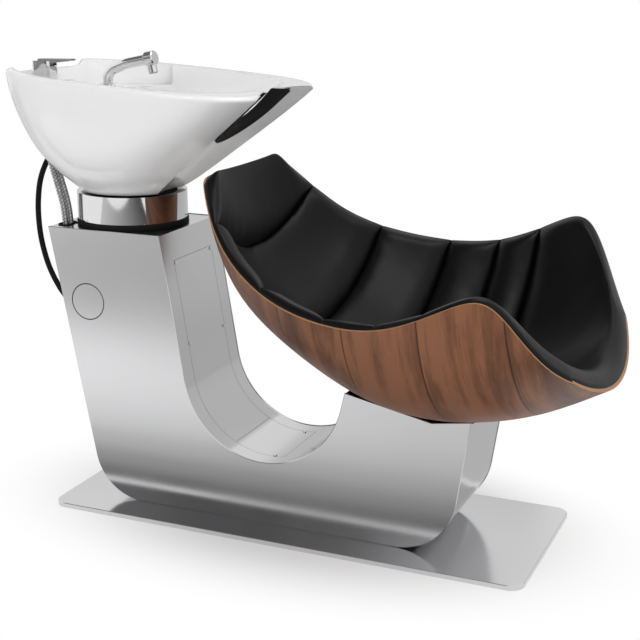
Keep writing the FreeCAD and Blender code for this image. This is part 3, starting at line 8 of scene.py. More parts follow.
# Looks of the shampoo bed around its CAD frame. Metres, row frame: basin at -X, near side at -Y.
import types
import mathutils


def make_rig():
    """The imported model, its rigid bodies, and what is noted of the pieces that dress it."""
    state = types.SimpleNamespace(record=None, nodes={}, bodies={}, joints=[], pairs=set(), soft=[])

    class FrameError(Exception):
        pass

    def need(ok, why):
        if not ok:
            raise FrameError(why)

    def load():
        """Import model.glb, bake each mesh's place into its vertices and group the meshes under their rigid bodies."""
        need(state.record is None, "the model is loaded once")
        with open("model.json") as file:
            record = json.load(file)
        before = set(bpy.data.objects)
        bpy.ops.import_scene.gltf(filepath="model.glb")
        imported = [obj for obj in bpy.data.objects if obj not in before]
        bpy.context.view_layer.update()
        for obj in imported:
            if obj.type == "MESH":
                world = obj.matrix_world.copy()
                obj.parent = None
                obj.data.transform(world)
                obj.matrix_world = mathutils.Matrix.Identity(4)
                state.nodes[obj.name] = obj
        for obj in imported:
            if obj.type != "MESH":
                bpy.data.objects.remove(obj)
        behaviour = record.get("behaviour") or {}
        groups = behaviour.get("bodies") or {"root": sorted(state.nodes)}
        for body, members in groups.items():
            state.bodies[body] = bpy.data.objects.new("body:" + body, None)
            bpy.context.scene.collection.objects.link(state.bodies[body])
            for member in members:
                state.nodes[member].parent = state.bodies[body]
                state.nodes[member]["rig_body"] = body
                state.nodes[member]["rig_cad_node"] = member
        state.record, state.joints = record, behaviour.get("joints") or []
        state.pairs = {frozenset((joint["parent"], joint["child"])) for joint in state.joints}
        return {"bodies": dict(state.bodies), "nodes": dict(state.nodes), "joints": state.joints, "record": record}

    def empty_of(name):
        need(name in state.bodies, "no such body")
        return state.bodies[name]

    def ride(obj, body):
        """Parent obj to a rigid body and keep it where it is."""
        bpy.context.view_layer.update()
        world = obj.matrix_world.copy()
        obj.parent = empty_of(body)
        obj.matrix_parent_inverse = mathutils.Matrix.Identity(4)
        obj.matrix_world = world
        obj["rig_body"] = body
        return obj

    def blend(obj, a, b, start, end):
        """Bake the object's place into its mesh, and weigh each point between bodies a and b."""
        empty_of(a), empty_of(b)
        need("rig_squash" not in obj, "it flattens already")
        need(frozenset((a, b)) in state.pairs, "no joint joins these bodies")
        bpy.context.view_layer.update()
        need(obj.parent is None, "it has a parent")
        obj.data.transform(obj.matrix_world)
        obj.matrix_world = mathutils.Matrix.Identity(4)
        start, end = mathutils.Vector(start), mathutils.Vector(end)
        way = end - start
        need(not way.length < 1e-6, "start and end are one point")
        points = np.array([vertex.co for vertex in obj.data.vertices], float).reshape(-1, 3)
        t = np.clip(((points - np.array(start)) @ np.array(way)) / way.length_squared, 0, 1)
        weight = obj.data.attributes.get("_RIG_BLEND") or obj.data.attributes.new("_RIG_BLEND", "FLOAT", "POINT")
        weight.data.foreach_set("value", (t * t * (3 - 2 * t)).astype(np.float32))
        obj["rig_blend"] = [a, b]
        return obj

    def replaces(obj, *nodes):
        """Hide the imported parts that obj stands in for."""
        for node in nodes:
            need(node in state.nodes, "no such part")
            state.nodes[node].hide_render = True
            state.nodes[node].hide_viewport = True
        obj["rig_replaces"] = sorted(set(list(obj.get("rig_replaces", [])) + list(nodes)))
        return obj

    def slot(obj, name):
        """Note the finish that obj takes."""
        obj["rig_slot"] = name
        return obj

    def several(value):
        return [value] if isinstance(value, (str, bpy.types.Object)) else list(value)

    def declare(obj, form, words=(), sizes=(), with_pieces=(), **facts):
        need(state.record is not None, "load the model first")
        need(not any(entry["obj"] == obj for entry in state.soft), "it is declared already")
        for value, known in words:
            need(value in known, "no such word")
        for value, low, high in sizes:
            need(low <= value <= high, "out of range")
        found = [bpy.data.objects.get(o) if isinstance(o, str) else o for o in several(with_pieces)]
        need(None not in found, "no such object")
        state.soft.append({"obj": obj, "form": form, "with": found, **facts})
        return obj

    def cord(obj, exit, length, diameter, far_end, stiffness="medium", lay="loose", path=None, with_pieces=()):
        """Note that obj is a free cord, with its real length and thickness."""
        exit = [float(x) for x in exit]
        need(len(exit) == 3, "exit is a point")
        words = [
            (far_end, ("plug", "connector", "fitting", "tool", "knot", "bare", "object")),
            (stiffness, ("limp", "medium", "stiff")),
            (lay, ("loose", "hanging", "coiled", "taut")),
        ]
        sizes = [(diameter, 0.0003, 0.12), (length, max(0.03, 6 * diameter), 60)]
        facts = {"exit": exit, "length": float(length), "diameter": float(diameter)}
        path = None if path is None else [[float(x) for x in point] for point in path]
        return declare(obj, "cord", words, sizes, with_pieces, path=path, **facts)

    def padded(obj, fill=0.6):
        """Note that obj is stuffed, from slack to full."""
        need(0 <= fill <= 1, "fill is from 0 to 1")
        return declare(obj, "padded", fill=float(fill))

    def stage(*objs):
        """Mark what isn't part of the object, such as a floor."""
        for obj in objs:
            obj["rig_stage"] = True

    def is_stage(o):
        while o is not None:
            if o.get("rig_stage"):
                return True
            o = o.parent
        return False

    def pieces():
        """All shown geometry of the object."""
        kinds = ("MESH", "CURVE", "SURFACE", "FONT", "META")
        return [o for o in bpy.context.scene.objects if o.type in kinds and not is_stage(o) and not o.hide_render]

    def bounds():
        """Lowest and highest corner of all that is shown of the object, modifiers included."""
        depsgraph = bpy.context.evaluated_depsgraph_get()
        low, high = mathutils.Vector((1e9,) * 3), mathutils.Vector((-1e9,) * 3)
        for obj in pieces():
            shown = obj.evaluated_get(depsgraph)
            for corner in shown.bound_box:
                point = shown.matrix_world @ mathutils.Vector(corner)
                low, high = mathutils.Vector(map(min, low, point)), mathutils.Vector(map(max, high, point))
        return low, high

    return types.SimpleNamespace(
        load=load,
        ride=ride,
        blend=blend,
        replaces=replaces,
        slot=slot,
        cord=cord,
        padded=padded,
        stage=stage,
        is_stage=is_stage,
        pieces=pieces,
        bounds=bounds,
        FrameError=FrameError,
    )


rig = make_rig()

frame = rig.load()
nodes = frame["nodes"]
cad_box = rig.bounds()
scene = bpy.context.scene

COLUMN_X = -0.412
LID_TOP = 0.599
COLLAR_FOOT = 0.612


# Camera, light and floor

CAMERA_PLACE = (1.0600, -2.4003, 1.1448)
CAMERA_TURN = math.radians(23.33)
CAMERA_TILT = math.radians(15.39)
CAMERA_LENS = 74.0
CAMERA_SENSOR = 36.0
VIEW_END = 60.0
WORLD_LIGHT = 0.46
WORLD_LOW_SHADE = (0.50, 0.50, 0.51, 1)
WORLD_RISE = (0.30, 0.75)
WHITE = (1, 1, 1, 1)
FLOOR_HALF = 30.0
FLOOR_COLOUR = (0.9, 0.9, 0.9, 1)
FLOOR_ROUGHNESS = 0.6
FLOOR_OVAL = (1.0, 1.7, 0.0)
FLOOR_FADE = (0.2, 0.8)


def add_camera():
    """Camera fitted to the photograph's floor plate and pedestal."""
    data = bpy.data.cameras.new("camera")
    data.lens = CAMERA_LENS
    data.sensor_width = CAMERA_SENSOR
    data.clip_end = VIEW_END
    camera = bpy.data.objects.new("camera", data)
    scene.collection.objects.link(camera)
    level = math.cos(CAMERA_TILT)
    back = Vector((math.sin(CAMERA_TURN) * level, -math.cos(CAMERA_TURN) * level, math.sin(CAMERA_TILT)))
    camera.location = CAMERA_PLACE
    camera.rotation_mode = "QUATERNION"
    camera.rotation_quaternion = (-back).to_track_quat("-Z", "Y")
    scene.camera = camera


def add_area(name, place, target, size, power):
    """Softbox at a place, turned to a target."""
    data = bpy.data.lights.new(name, "AREA")
    data.shape = "RECTANGLE"
    data.size, data.size_y = size
    data.energy = power
    light = bpy.data.objects.new(name, data)
    light.location = place
    aim = Vector(target) - Vector(place)
    light.rotation_mode = "QUATERNION"
    light.rotation_quaternion = aim.to_track_quat("-Z", "Y")
    scene.collection.objects.link(light)
    return light


def add_card(name, rows):
    """Studio card that only mirrors see.

    Each row has two end points and their shades, and the card is graded from row to row."""
    mesh = bpy.data.meshes.new(name)
    points = [point for row in rows for point in row[:2]]
    shades = [shade for row in rows for shade in row[2:]]
    faces = [(2 * i, 2 * i + 1, 2 * i + 3, 2 * i + 2) for i in range(len(rows) - 1)]
    mesh.from_pydata(points, [], faces)
    layer = mesh.color_attributes.new("shade", "FLOAT_COLOR", "POINT")
    for corner, shade in zip(layer.data, shades):
        corner.color = (shade, shade, shade, 1)
    card = bpy.data.objects.new(name, mesh)
    scene.collection.objects.link(card)
    material = bpy.data.materials.new(name)
    material.use_nodes = True
    tree = material.node_tree
    tree.nodes.clear()
    reader = tree.nodes.new("ShaderNodeVertexColor")
    reader.layer_name = "shade"
    glow = tree.nodes.new("ShaderNodeEmission")
    out = tree.nodes.new("ShaderNodeOutputMaterial")
    tree.links.new(reader.outputs["Color"], glow.inputs["Color"])
    tree.links.new(glow.outputs[0], out.inputs[0])
    mesh.materials.append(material)
    card.visible_camera = False
    card.visible_diffuse = False
    card.visible_shadow = False
    card.visible_transmission = False
    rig.stage(card)


def backdrop_seen(tree):
    """Output that is 1 where the camera, a mirror or glass looks at the backdrop."""
    path = tree.nodes.new("ShaderNodeLightPath")
    mirror = tree.nodes.new("ShaderNodeMath")
    mirror.operation = "MAXIMUM"
    either = tree.nodes.new("ShaderNodeMath")
    either.operation = "MAXIMUM"
    tree.links.new(path.outputs["Is Glossy Ray"], mirror.inputs[0])
    tree.links.new(path.outputs["Is Transmission Ray"], mirror.inputs[1])
    tree.links.new(path.outputs["Is Camera Ray"], either.inputs[0])
    tree.links.new(mirror.outputs[0], either.inputs[1])
    return either.outputs[0]


def add_world():
    """White to the camera and to mirrors, a soft vertical gradient as light."""
    world = bpy.data.worlds.new("studio")
    scene.world = world
    world.use_nodes = True
    tree = world.node_tree
    tree.nodes.clear()
    link = tree.links.new
    out = tree.nodes.new("ShaderNodeOutputWorld")
    mix = tree.nodes.new("ShaderNodeMixShader")
    white = tree.nodes.new("ShaderNodeBackground")
    white.inputs[0].default_value = WHITE
    studio = tree.nodes.new("ShaderNodeBackground")
    studio.inputs[1].default_value = WORLD_LIGHT
    coords = tree.nodes.new("ShaderNodeTexCoord")
    split = tree.nodes.new("ShaderNodeSeparateXYZ")
    ramp = tree.nodes.new("ShaderNodeValToRGB")
    for step, position, colour in zip(ramp.color_ramp.elements, WORLD_RISE, (WORLD_LOW_SHADE, WHITE)):
        step.position, step.color = position, colour
    shift = tree.nodes.new("ShaderNodeMath")
    shift.operation = "MULTIPLY_ADD"
    shift.inputs[1].default_value = 0.5
    shift.inputs[2].default_value = 0.5
    link(coords.outputs["Generated"], split.inputs[0])
    link(split.outputs["Z"], shift.inputs[0])
    link(shift.outputs[0], ramp.inputs[0])
    link(ramp.outputs[0], studio.inputs[0])
    link(backdrop_seen(tree), mix.inputs[0])
    link(studio.outputs[0], mix.inputs[1])
    link(white.outputs[0], mix.inputs[2])
    link(mix.outputs[0], out.inputs[0])


def add_floor():
    """Pale floor that turns to plain white away from the object."""
    mesh = bpy.data.meshes.new("floor")
    corners = [(x * FLOOR_HALF, y * FLOOR_HALF, 0) for x, y in ((-1, -1), (1, -1), (1, 1), (-1, 1))]
    mesh.from_pydata(corners, [], [(0, 1, 2, 3)])
    floor = bpy.data.objects.new("floor", mesh)
    scene.collection.objects.link(floor)
    material = bpy.data.materials.new("floor")
    material.use_nodes = True
    tree = material.node_tree
    tree.nodes.clear()
    link = tree.links.new
    out = tree.nodes.new("ShaderNodeOutputMaterial")
    matt = tree.nodes.new("ShaderNodeBsdfPrincipled")
    matt.inputs["Base Color"].default_value = FLOOR_COLOUR
    matt.inputs["Roughness"].default_value = FLOOR_ROUGHNESS
    glow = tree.nodes.new("ShaderNodeEmission")
    coords = tree.nodes.new("ShaderNodeNewGeometry")
    oval = tree.nodes.new("ShaderNodeVectorMath")
    oval.operation = "MULTIPLY"
    oval.inputs[1].default_value = FLOOR_OVAL
    length = tree.nodes.new("ShaderNodeVectorMath")
    length.operation = "LENGTH"
    fade = tree.nodes.new("ShaderNodeMapRange")
    fade.inputs["From Min"].default_value, fade.inputs["From Max"].default_value = FLOOR_FADE
    fade.interpolation_type = "SMOOTHSTEP"
    mix = tree.nodes.new("ShaderNodeMixShader")
    seen = tree.nodes.new("ShaderNodeMath")
    seen.operation = "MULTIPLY"
    link(coords.outputs["Position"], oval.inputs[0])
    link(oval.outputs[0], length.inputs[0])
    link(length.outputs["Value"], fade.inputs["Value"])
    link(fade.outputs["Result"], seen.inputs[0])
    link(backdrop_seen(tree), seen.inputs[1])
    link(seen.outputs[0], mix.inputs[0])
    link(matt.outputs[0], mix.inputs[1])
    link(glow.outputs[0], mix.inputs[2])
    link(mix.outputs[0], out.inputs[0])
    mesh.materials.append(material)
    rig.stage(floor)


# Materials

# Grey of the painted shade that stands for the shaded gap round a cover.
COVER_GAP_SHADE = (0.12, 0.12, 0.12, 1)
LEATHER_BLACK = (0.0025, 0.0025, 0.0027)
LEATHER_ROUGHNESS = (0.30, 0.42)
LEATHER_PEBBLES = 620.0
STAVE_WIDTH = 0.142
STAVE_START = 0.38
STAVE_FAN = 0.39
STAVE_FAN_START = -0.18
STAVE_FAN_HEIGHT = 0.55
STAVE_GRAIN_JUMP = 3.7
STAVE_TONE = 0.12
STAVE_JOINT = (0.004, 0.016)
STAVE_JOINT_SHADE = 0.25
GRAIN_STRETCH = (1.0, 0.06, 0.09)
FINE_GRAIN = 0.35
CLOUDS = 0.35
WALNUT_DARK = (0.048, 0.017, 0.008, 1)
WALNUT_MIDDLE = (0.145, 0.055, 0.024, 1)
WALNUT_LIGHT = (0.25, 0.100, 0.046, 1)


def plain(name, colour, metallic=0.0, roughness=0.5, coat=0.0, coat_roughness=0.05, specular=0.5):
    """Principled material with constant values."""
    material = bpy.data.materials.new(name)
    material.use_nodes = True
    shader = material.node_tree.nodes["Principled BSDF"]
    shader.inputs["Base Color"].default_value = (*colour, 1)
    shader.inputs["Metallic"].default_value = metallic
    shader.inputs["Roughness"].default_value = roughness
    shader.inputs["Coat Weight"].default_value = coat
    shader.inputs["Coat Roughness"].default_value = coat_roughness
    shader.inputs["Specular IOR Level"].default_value = specular
    return material


def add_node(tree, kind, **values):
    """Node with some of its settings or inputs given by name."""
    node = tree.nodes.new(kind)
    for key, value in values.items():
        if hasattr(node, key):
            setattr(node, key, value)
        else:
            node.inputs[key.replace("_", " ")].default_value = value
    return node


def new_group(name, inputs, outputs):
    """Empty shader node group with sockets of the given types."""
    group = bpy.data.node_groups.new(name, "ShaderNodeTree")
    for key, kind, value in inputs:
        socket = group.interface.new_socket(key, in_out="INPUT", socket_type=kind)
        if value is not None:
            socket.default_value = value
    for key, kind in outputs:
        group.interface.new_socket(key, in_out="OUTPUT", socket_type=kind)
    group.nodes.new("NodeGroupInput")
    group.nodes.new("NodeGroupOutput")
    return group


def wear_group():
    """Slow unevenness of roughness and surface, shared by the polished and brushed metals."""
    inputs = [("Scale", "NodeSocketFloat", 6.0), ("Low", "NodeSocketFloat", 0.1),
              ("High", "NodeSocketFloat", 0.2), ("Stretch", "NodeSocketVector", (1, 1, 1))]
    outputs = [("Roughness", "NodeSocketFloat"), ("Value", "NodeSocketFloat")]
    group = new_group("surface_wear", inputs, outputs)
    source, sink = group.nodes["Group Input"], group.nodes["Group Output"]
    link = group.links.new
    coords = add_node(group, "ShaderNodeTexCoord")
    stretch = add_node(group, "ShaderNodeVectorMath", operation="MULTIPLY")
    noise = add_node(group, "ShaderNodeTexNoise", Detail=5.0, Roughness=0.6)
    span = add_node(group, "ShaderNodeMapRange")
    span.inputs["From Min"].default_value = 0.3
    span.inputs["From Max"].default_value = 0.7
    link(coords.outputs["Object"], stretch.inputs[0])
    link(source.outputs["Stretch"], stretch.inputs[1])
    link(stretch.outputs[0], noise.inputs["Vector"])
    link(source.outputs["Scale"], noise.inputs["Scale"])
    link(noise.outputs["Fac"], span.inputs["Value"])
    link(source.outputs["Low"], span.inputs["To Min"])
    link(source.outputs["High"], span.inputs["To Max"])
    link(span.outputs[0], sink.inputs["Roughness"])
    link(noise.outputs["Fac"], sink.inputs["Value"])
    return group


def metal(name, colour, low, high, scale=5.0, stretch=(1, 1, 1), bump=0.0):
    """Metal with uneven roughness and, if wanted, a fine grain."""
    material = plain(name, colour, 1.0, low)
    tree = material.node_tree
    shader = tree.nodes["Principled BSDF"]
    wear = add_node(tree, "ShaderNodeGroup", node_tree=WEAR)
    wear.inputs["Scale"].default_value = scale
    wear.inputs["Low"].default_value = low
    wear.inputs["High"].default_value = high
    wear.inputs["Stretch"].default_value = stretch
    tree.links.new(wear.outputs["Roughness"], shader.inputs["Roughness"])
    if bump:
        raise_up = add_node(tree, "ShaderNodeBump", Distance=0.0002, Strength=bump)
        tree.links.new(wear.outputs["Value"], raise_up.inputs["Height"])
        tree.links.new(raise_up.outputs[0], shader.inputs["Normal"])
    return material


def rounded(material, radius):
    """Edges that catch the light as if rounded to a radius, as a glaze rounds them."""
    tree = material.node_tree
    bevel = add_node(tree, "ShaderNodeBevel", samples=6, Radius=radius)
    tree.links.new(bevel.outputs[0], tree.nodes["Principled BSDF"].inputs["Normal"])
    return material


def gap_shaded(material, centre, radius, width):
    """Painted shade round the edge of a disc: a dark line where the gap round a cover falls into shade."""
    tree = material.node_tree
    shader = tree.nodes["Principled BSDF"]
    link = tree.links.new
    coords = add_node(tree, "ShaderNodeTexCoord")
    distance = add_node(tree, "ShaderNodeVectorMath", operation="DISTANCE")
    distance.inputs[1].default_value = centre
    # Painted shade: a dark line just inside the disc's edge, standing for the shaded gap round the cover.
    line = add_node(tree, "ShaderNodeMapRange")
    line.inputs["From Min"].default_value = radius - width
    line.inputs["From Max"].default_value = radius - 0.6 * width
    colour = add_node(tree, "ShaderNodeMix", data_type="RGBA")
    colour.inputs["A"].default_value = shader.inputs["Base Color"].default_value
    colour.inputs["B"].default_value = COVER_GAP_SHADE
    link(coords.outputs["Object"], distance.inputs[0])
    link(distance.outputs["Value"], line.inputs["Value"])
    link(line.outputs[0], colour.inputs["Factor"])
    link(colour.outputs["Result"], shader.inputs["Base Color"])
    return material


def leather(name):
    """Black leather with a fine pebble and soft sheen."""
    material = plain(name, LEATHER_BLACK, 0.0, 0.46, specular=0.15)
    tree = material.node_tree
    shader = tree.nodes["Principled BSDF"]
    link = tree.links.new
    coords = add_node(tree, "ShaderNodeTexCoord")
    cells = add_node(tree, "ShaderNodeTexVoronoi", Scale=LEATHER_PEBBLES)
    slow = add_node(tree, "ShaderNodeTexNoise", Scale=14.0, Detail=3.0)
    span = add_node(tree, "ShaderNodeMapRange")
    span.inputs["To Min"].default_value, span.inputs["To Max"].default_value = LEATHER_ROUGHNESS
    raise_up = add_node(tree, "ShaderNodeBump", Distance=0.0004, Strength=0.28)
    link(coords.outputs["Object"], cells.inputs["Vector"])
    link(coords.outputs["Object"], slow.inputs["Vector"])
    link(slow.outputs["Fac"], span.inputs["Value"])
    link(span.outputs[0], shader.inputs["Roughness"])
    link(cells.outputs["Distance"], raise_up.inputs["Height"])
    link(raise_up.outputs[0], shader.inputs["Normal"])
    return material


def walnut(name):
    """Veneer in staves: the grain follows the sections across the seat, with dark joints between."""
    material = plain(name, (0.2, 0.09, 0.045), 0.0, 0.42, coat=0.08, coat_roughness=0.25, specular=0.25)
    tree = material.node_tree
    shader = tree.nodes["Principled BSDF"]
    link = tree.links.new
    coords = add_node(tree, "ShaderNodeTexCoord")
    split = add_node(tree, "ShaderNodeSeparateXYZ")
    link(coords.outputs["Object"], split.inputs[0])
    # Place along the seat: section planes fan out slightly from vertical.
    fan = add_node(tree, "ShaderNodeMath", operation="MULTIPLY_ADD")
    fan.inputs[1].default_value = STAVE_FAN
    fan.inputs[2].default_value = STAVE_FAN_START
    height = add_node(tree, "ShaderNodeMath", operation="SUBTRACT")
    height.inputs[1].default_value = STAVE_FAN_HEIGHT
    along = add_node(tree, "ShaderNodeMath", operation="MULTIPLY_ADD")
    link(split.outputs["X"], fan.inputs[0])
    link(split.outputs["Z"], height.inputs[0])
    link(fan.outputs[0], along.inputs[0])
    link(height.outputs[0], along.inputs[1])
    link(split.outputs["X"], along.inputs[2])
    # Each stave has its own tone and grain.
    stave = add_node(tree, "ShaderNodeMath", operation="MULTIPLY_ADD")
    stave.inputs[1].default_value = 1 / STAVE_WIDTH
    stave.inputs[2].default_value = STAVE_START
    whole = add_node(tree, "ShaderNodeMath", operation="FLOOR")
    part = add_node(tree, "ShaderNodeMath", operation="FRACT")
    tone = add_node(tree, "ShaderNodeTexWhiteNoise", noise_dimensions="1D")
    link(along.outputs[0], stave.inputs[0])
    link(stave.outputs[0], whole.inputs[0])
    link(stave.outputs[0], part.inputs[0])
    link(whole.outputs[0], tone.inputs["W"])
    place = add_node(tree, "ShaderNodeCombineXYZ")
    offset = add_node(tree, "ShaderNodeMath", operation="MULTIPLY_ADD")
    offset.inputs[1].default_value = STAVE_GRAIN_JUMP
    link(whole.outputs[0], offset.inputs[0])
    link(split.outputs["Y"], offset.inputs[2])
    link(along.outputs[0], place.inputs["X"])
    link(offset.outputs[0], place.inputs["Y"])
    link(split.outputs["Z"], place.inputs["Z"])
    grain_place = add_node(tree, "ShaderNodeVectorMath", operation="MULTIPLY")
    grain_place.inputs[1].default_value = GRAIN_STRETCH
    link(place.outputs[0], grain_place.inputs[0])
    broad = add_node(tree, "ShaderNodeTexNoise", Scale=34.0, Detail=4.0, Roughness=0.55, Distortion=0.4)
    fine = add_node(tree, "ShaderNodeTexNoise", Scale=260.0, Detail=6.0, Roughness=0.7)
    cloud = add_node(tree, "ShaderNodeTexNoise", Scale=7.0, Detail=3.0)
    link(grain_place.outputs[0], broad.inputs["Vector"])
    link(grain_place.outputs[0], fine.inputs["Vector"])
    link(place.outputs[0], cloud.inputs["Vector"])
    both = add_node(tree, "ShaderNodeMath", operation="MULTIPLY_ADD")
    both.inputs[1].default_value = FINE_GRAIN
    link(fine.outputs["Fac"], both.inputs[0])
    link(broad.outputs["Fac"], both.inputs[2])
    shade = add_node(tree, "ShaderNodeMath", operation="MULTIPLY_ADD")
    shade.inputs[1].default_value = CLOUDS
    link(cloud.outputs["Fac"], shade.inputs[0])
    link(both.outputs[0], shade.inputs[2])
    lift = add_node(tree, "ShaderNodeMath", operation="MULTIPLY_ADD")
    lift.inputs[1].default_value = STAVE_TONE
    link(tone.outputs["Value"], lift.inputs[0])
    link(shade.outputs[0], lift.inputs[2])
    ramp = add_node(tree, "ShaderNodeValToRGB")
    steps = ramp.color_ramp.elements
    steps[0].position, steps[0].color = 0.52, WALNUT_DARK
    steps[1].position, steps[1].color = 1.12, WALNUT_LIGHT
    middle = steps.new(0.82)
    middle.color = WALNUT_MIDDLE
    link(lift.outputs[0], ramp.inputs[0])
    # Dark joint between staves.
    edge = add_node(tree, "ShaderNodeMath", operation="PINGPONG")
    edge.inputs[1].default_value = 0.5
    joint = add_node(tree, "ShaderNodeMapRange")
    joint.inputs["From Min"].default_value, joint.inputs["From Max"].default_value = STAVE_JOINT
    joint.inputs["To Min"].default_value = STAVE_JOINT_SHADE
    link(part.outputs[0], edge.inputs[0])
    link(edge.outputs[0], joint.inputs["Value"])
    colour = add_node(tree, "ShaderNodeMix", data_type="RGBA", blend_type="MULTIPLY")
    colour.inputs["Factor"].default_value = 1.0
    link(ramp.outputs[0], colour.inputs["A"])
    link(joint.outputs[0], colour.inputs["B"])
    link(colour.outputs["Result"], shader.inputs["Base Color"])
    raise_up = add_node(tree, "ShaderNodeBump", Distance=0.0006, Strength=0.25)
    link(fine.outputs["Fac"], raise_up.inputs["Height"])
    link(raise_up.outputs[0], shader.inputs["Normal"])
    return material


def braid(name):
    """Woven steel sleeve of the supply hoses, in the hose's own coordinates."""
    material = plain(name, (0.8, 0.8, 0.81), 0.6, 0.3)
    tree = material.node_tree
    shader = tree.nodes["Principled BSDF"]
    link = tree.links.new
    coords = add_node(tree, "ShaderNodeUVMap", uv_map="weave")
    check = add_node(tree, "ShaderNodeTexBrick", Scale=1.0, Mortar_Size=0.12, Brick_Width=1.0,
                     Row_Height=1.0)
    check.inputs["Color1"].default_value = (0.78, 0.78, 0.79, 1)
    check.inputs["Color2"].default_value = (0.5, 0.5, 0.51, 1)
    check.inputs["Mortar"].default_value = (0.06, 0.06, 0.065, 1)
    raise_up = add_node(tree, "ShaderNodeBump", Distance=0.0006, Strength=0.7)
    link(coords.outputs["UV"], check.inputs["Vector"])
    link(check.outputs["Color"], shader.inputs["Base Color"])
    link(check.outputs["Fac"], raise_up.inputs["Height"])
    raise_up.invert = True
    link(raise_up.outputs[0], shader.inputs["Normal"])
    return material


WEAR = wear_group()
STEEL = (0.66, 0.66, 0.67)
GLAZE_RADIUS = 0.009
# Place, radius and width of the painted shade round the blank cover's edge.
BLANK_CENTRE = (-0.455, -0.125, 0.445)
BLANK_RADIUS = 0.0397
BLANK_GAP_SHADE = 0.0028
MATERIALS = {
    "steel": metal("steel_polished", STEEL, 0.13, 0.2, 3.0),
    "chrome": metal("chrome", (0.74, 0.74, 0.75), 0.03, 0.07, 9.0),
    "ceramic": rounded(plain("ceramic", (0.87, 0.87, 0.87), 0.0, 0.12, coat=0.5, coat_roughness=0.04),
                       GLAZE_RADIUS),
    "walnut": walnut("walnut"),
    "leather": leather("leather"),
    "rubber": plain("rubber", (0.010, 0.010, 0.010), 0.0, 0.7, specular=0.08),
    "frame_paint": plain("frame_paint", (0.05, 0.05, 0.055), 0.0, 0.5),
    "zinc": metal("zinc", (0.62, 0.62, 0.6), 0.3, 0.45, 30.0),
    "braid": braid("braid"),
    "brass": metal("brass", (0.72, 0.52, 0.22), 0.25, 0.4, 30.0),
    "plastic_black": plain("plastic_black", (0.015, 0.015, 0.016), 0.0, 0.45),
    "plastic_grey": plain("plastic_grey", (0.4, 0.41, 0.42), 0.0, 0.5),
}
PLY_EDGE = plain("ply_edge", (0.42, 0.21, 0.085), 0.0, 0.5)
# Steel of the blank cover, with painted shade round its edge where the gap to the panel falls dark.
BLANK_STEEL = gap_shaded(metal("blank_steel", STEEL, 0.13, 0.2, 3.0), BLANK_CENTRE, BLANK_RADIUS, BLANK_GAP_SHADE)


# Seat form, from the same stations as the CAD part, in millimetres from the pedestal block's valley.
# Each station has the rim's place along and up, half the rim's width, and the keel's place along and up.

VALLEY = (312.0, 282.0)
SEAT_STATIONS = np.array([
    (-475, 448, 146, -488, 442),
    (-406, 370, 238, -442, 262),
    (-332, 306, 290, -366, 152),
    (-223, 261, 343, -242, 70),
    (-93, 245, 382, -118, 11),
    (18, 263, 402, 4, -10),
    (113, 306, 408, 108, -1),
    (178, 313, 388, 198, 23),
    (233, 237, 340, 275, 58),
    (294, 153, 242, 333, 90),
], float)
CREASES = [0.0, 1.0, 2.6, 3.75, 4.65, 5.5, 9.0]
PAD_NAMES = ["head_pad", "shoulder_pad", "lumbar_pad",
             "rear_seat_pad", "middle_seat_pad", "front_pad"]
SEAT_STEP = 0.25
SHELL_SHEET = 7.0
PAD_BACK = SHELL_SHEET + 0.3
PAD_INSET = 2.5
LIP_GAP = 0.6
LIP_SHEET = 2.0
LIP_DEPTH = 0.45 * SHELL_SHEET
HEAD_CORNER = 90.0
LIP_CORNER = 150.0
PAD_COLUMNS = 108
PAD_COLUMN_SWEEP = 0.86
PAD_LEAST_ROWS = 14
PAD_ROWS_PER_STATION = 26
PAD_ROW_CROWDING = 0.11
PAD_SKIN = 7.0
PAD_CROWN = 48.0
PAD_CROWN_DROP = 14.0
PAD_LEAST = 4.0
SEAM_ROLL = 54.0
SEAM_FILL = 0.10
RIM_ROLL = 30.0
PUCKER_HEIGHT = 2.4
PUCKER_REACH = 26.0
PUCKER_START = 5.0
PUCKER_WAVES = (17.0, 40.0)
SWELL_HEIGHT = 1.3
SWELL_WAVES = (85.0, 70.0)
EDGE_STATIONS = 73
EDGE_COLUMNS = 49
EDGE_SLOPE = 0.55


def station_slopes(points):
    """Slopes of the smooth curve through the stations, with cubic ends."""
    count = len(points)
    left = np.zeros((count, count))
    right = np.zeros_like(points)
    left[0, 0] = left[-1, -1] = 1
    right[0] = (-11 * points[0] + 18 * points[1] - 9 * points[2] + 2 * points[3]) / 6
    right[-1] = (11 * points[-1] - 18 * points[-2] + 9 * points[-3] - 2 * points[-4]) / 6
    for i in range(1, count - 1):
        left[i, i - 1:i + 2] = 1, 4, 1
        right[i] = 3 * (points[i + 1] - points[i - 1])
    return np.linalg.solve(left, right)


STATION_SLOPES = station_slopes(SEAT_STATIONS)


def seat_section(u):
    """Keel point, up direction, arc radius and arc span of the section at u."""
    i = min(int(u), len(SEAT_STATIONS) - 2)
    t = u - i
    a, b = SEAT_STATIONS[i], SEAT_STATIONS[i + 1]
    da, db = STATION_SLOPES[i], STATION_SLOPES[i + 1]
    value = (a * (1 + 2 * t) * (1 - t) ** 2 + da * t * (1 - t) ** 2
             + b * t * t * (3 - 2 * t) - db * t * t * (1 - t))
    rim = np.array([VALLEY[0] + value[0], VALLEY[1] + value[1]])
    keel = np.array([VALLEY[0] + value[3], VALLEY[1] + value[4]])
    height = np.linalg.norm(rim - keel)
    radius = (value[2] ** 2 + height ** 2) / (2 * height)
    return keel, (rim - keel) / height, radius, math.atan2(value[2], radius - height)


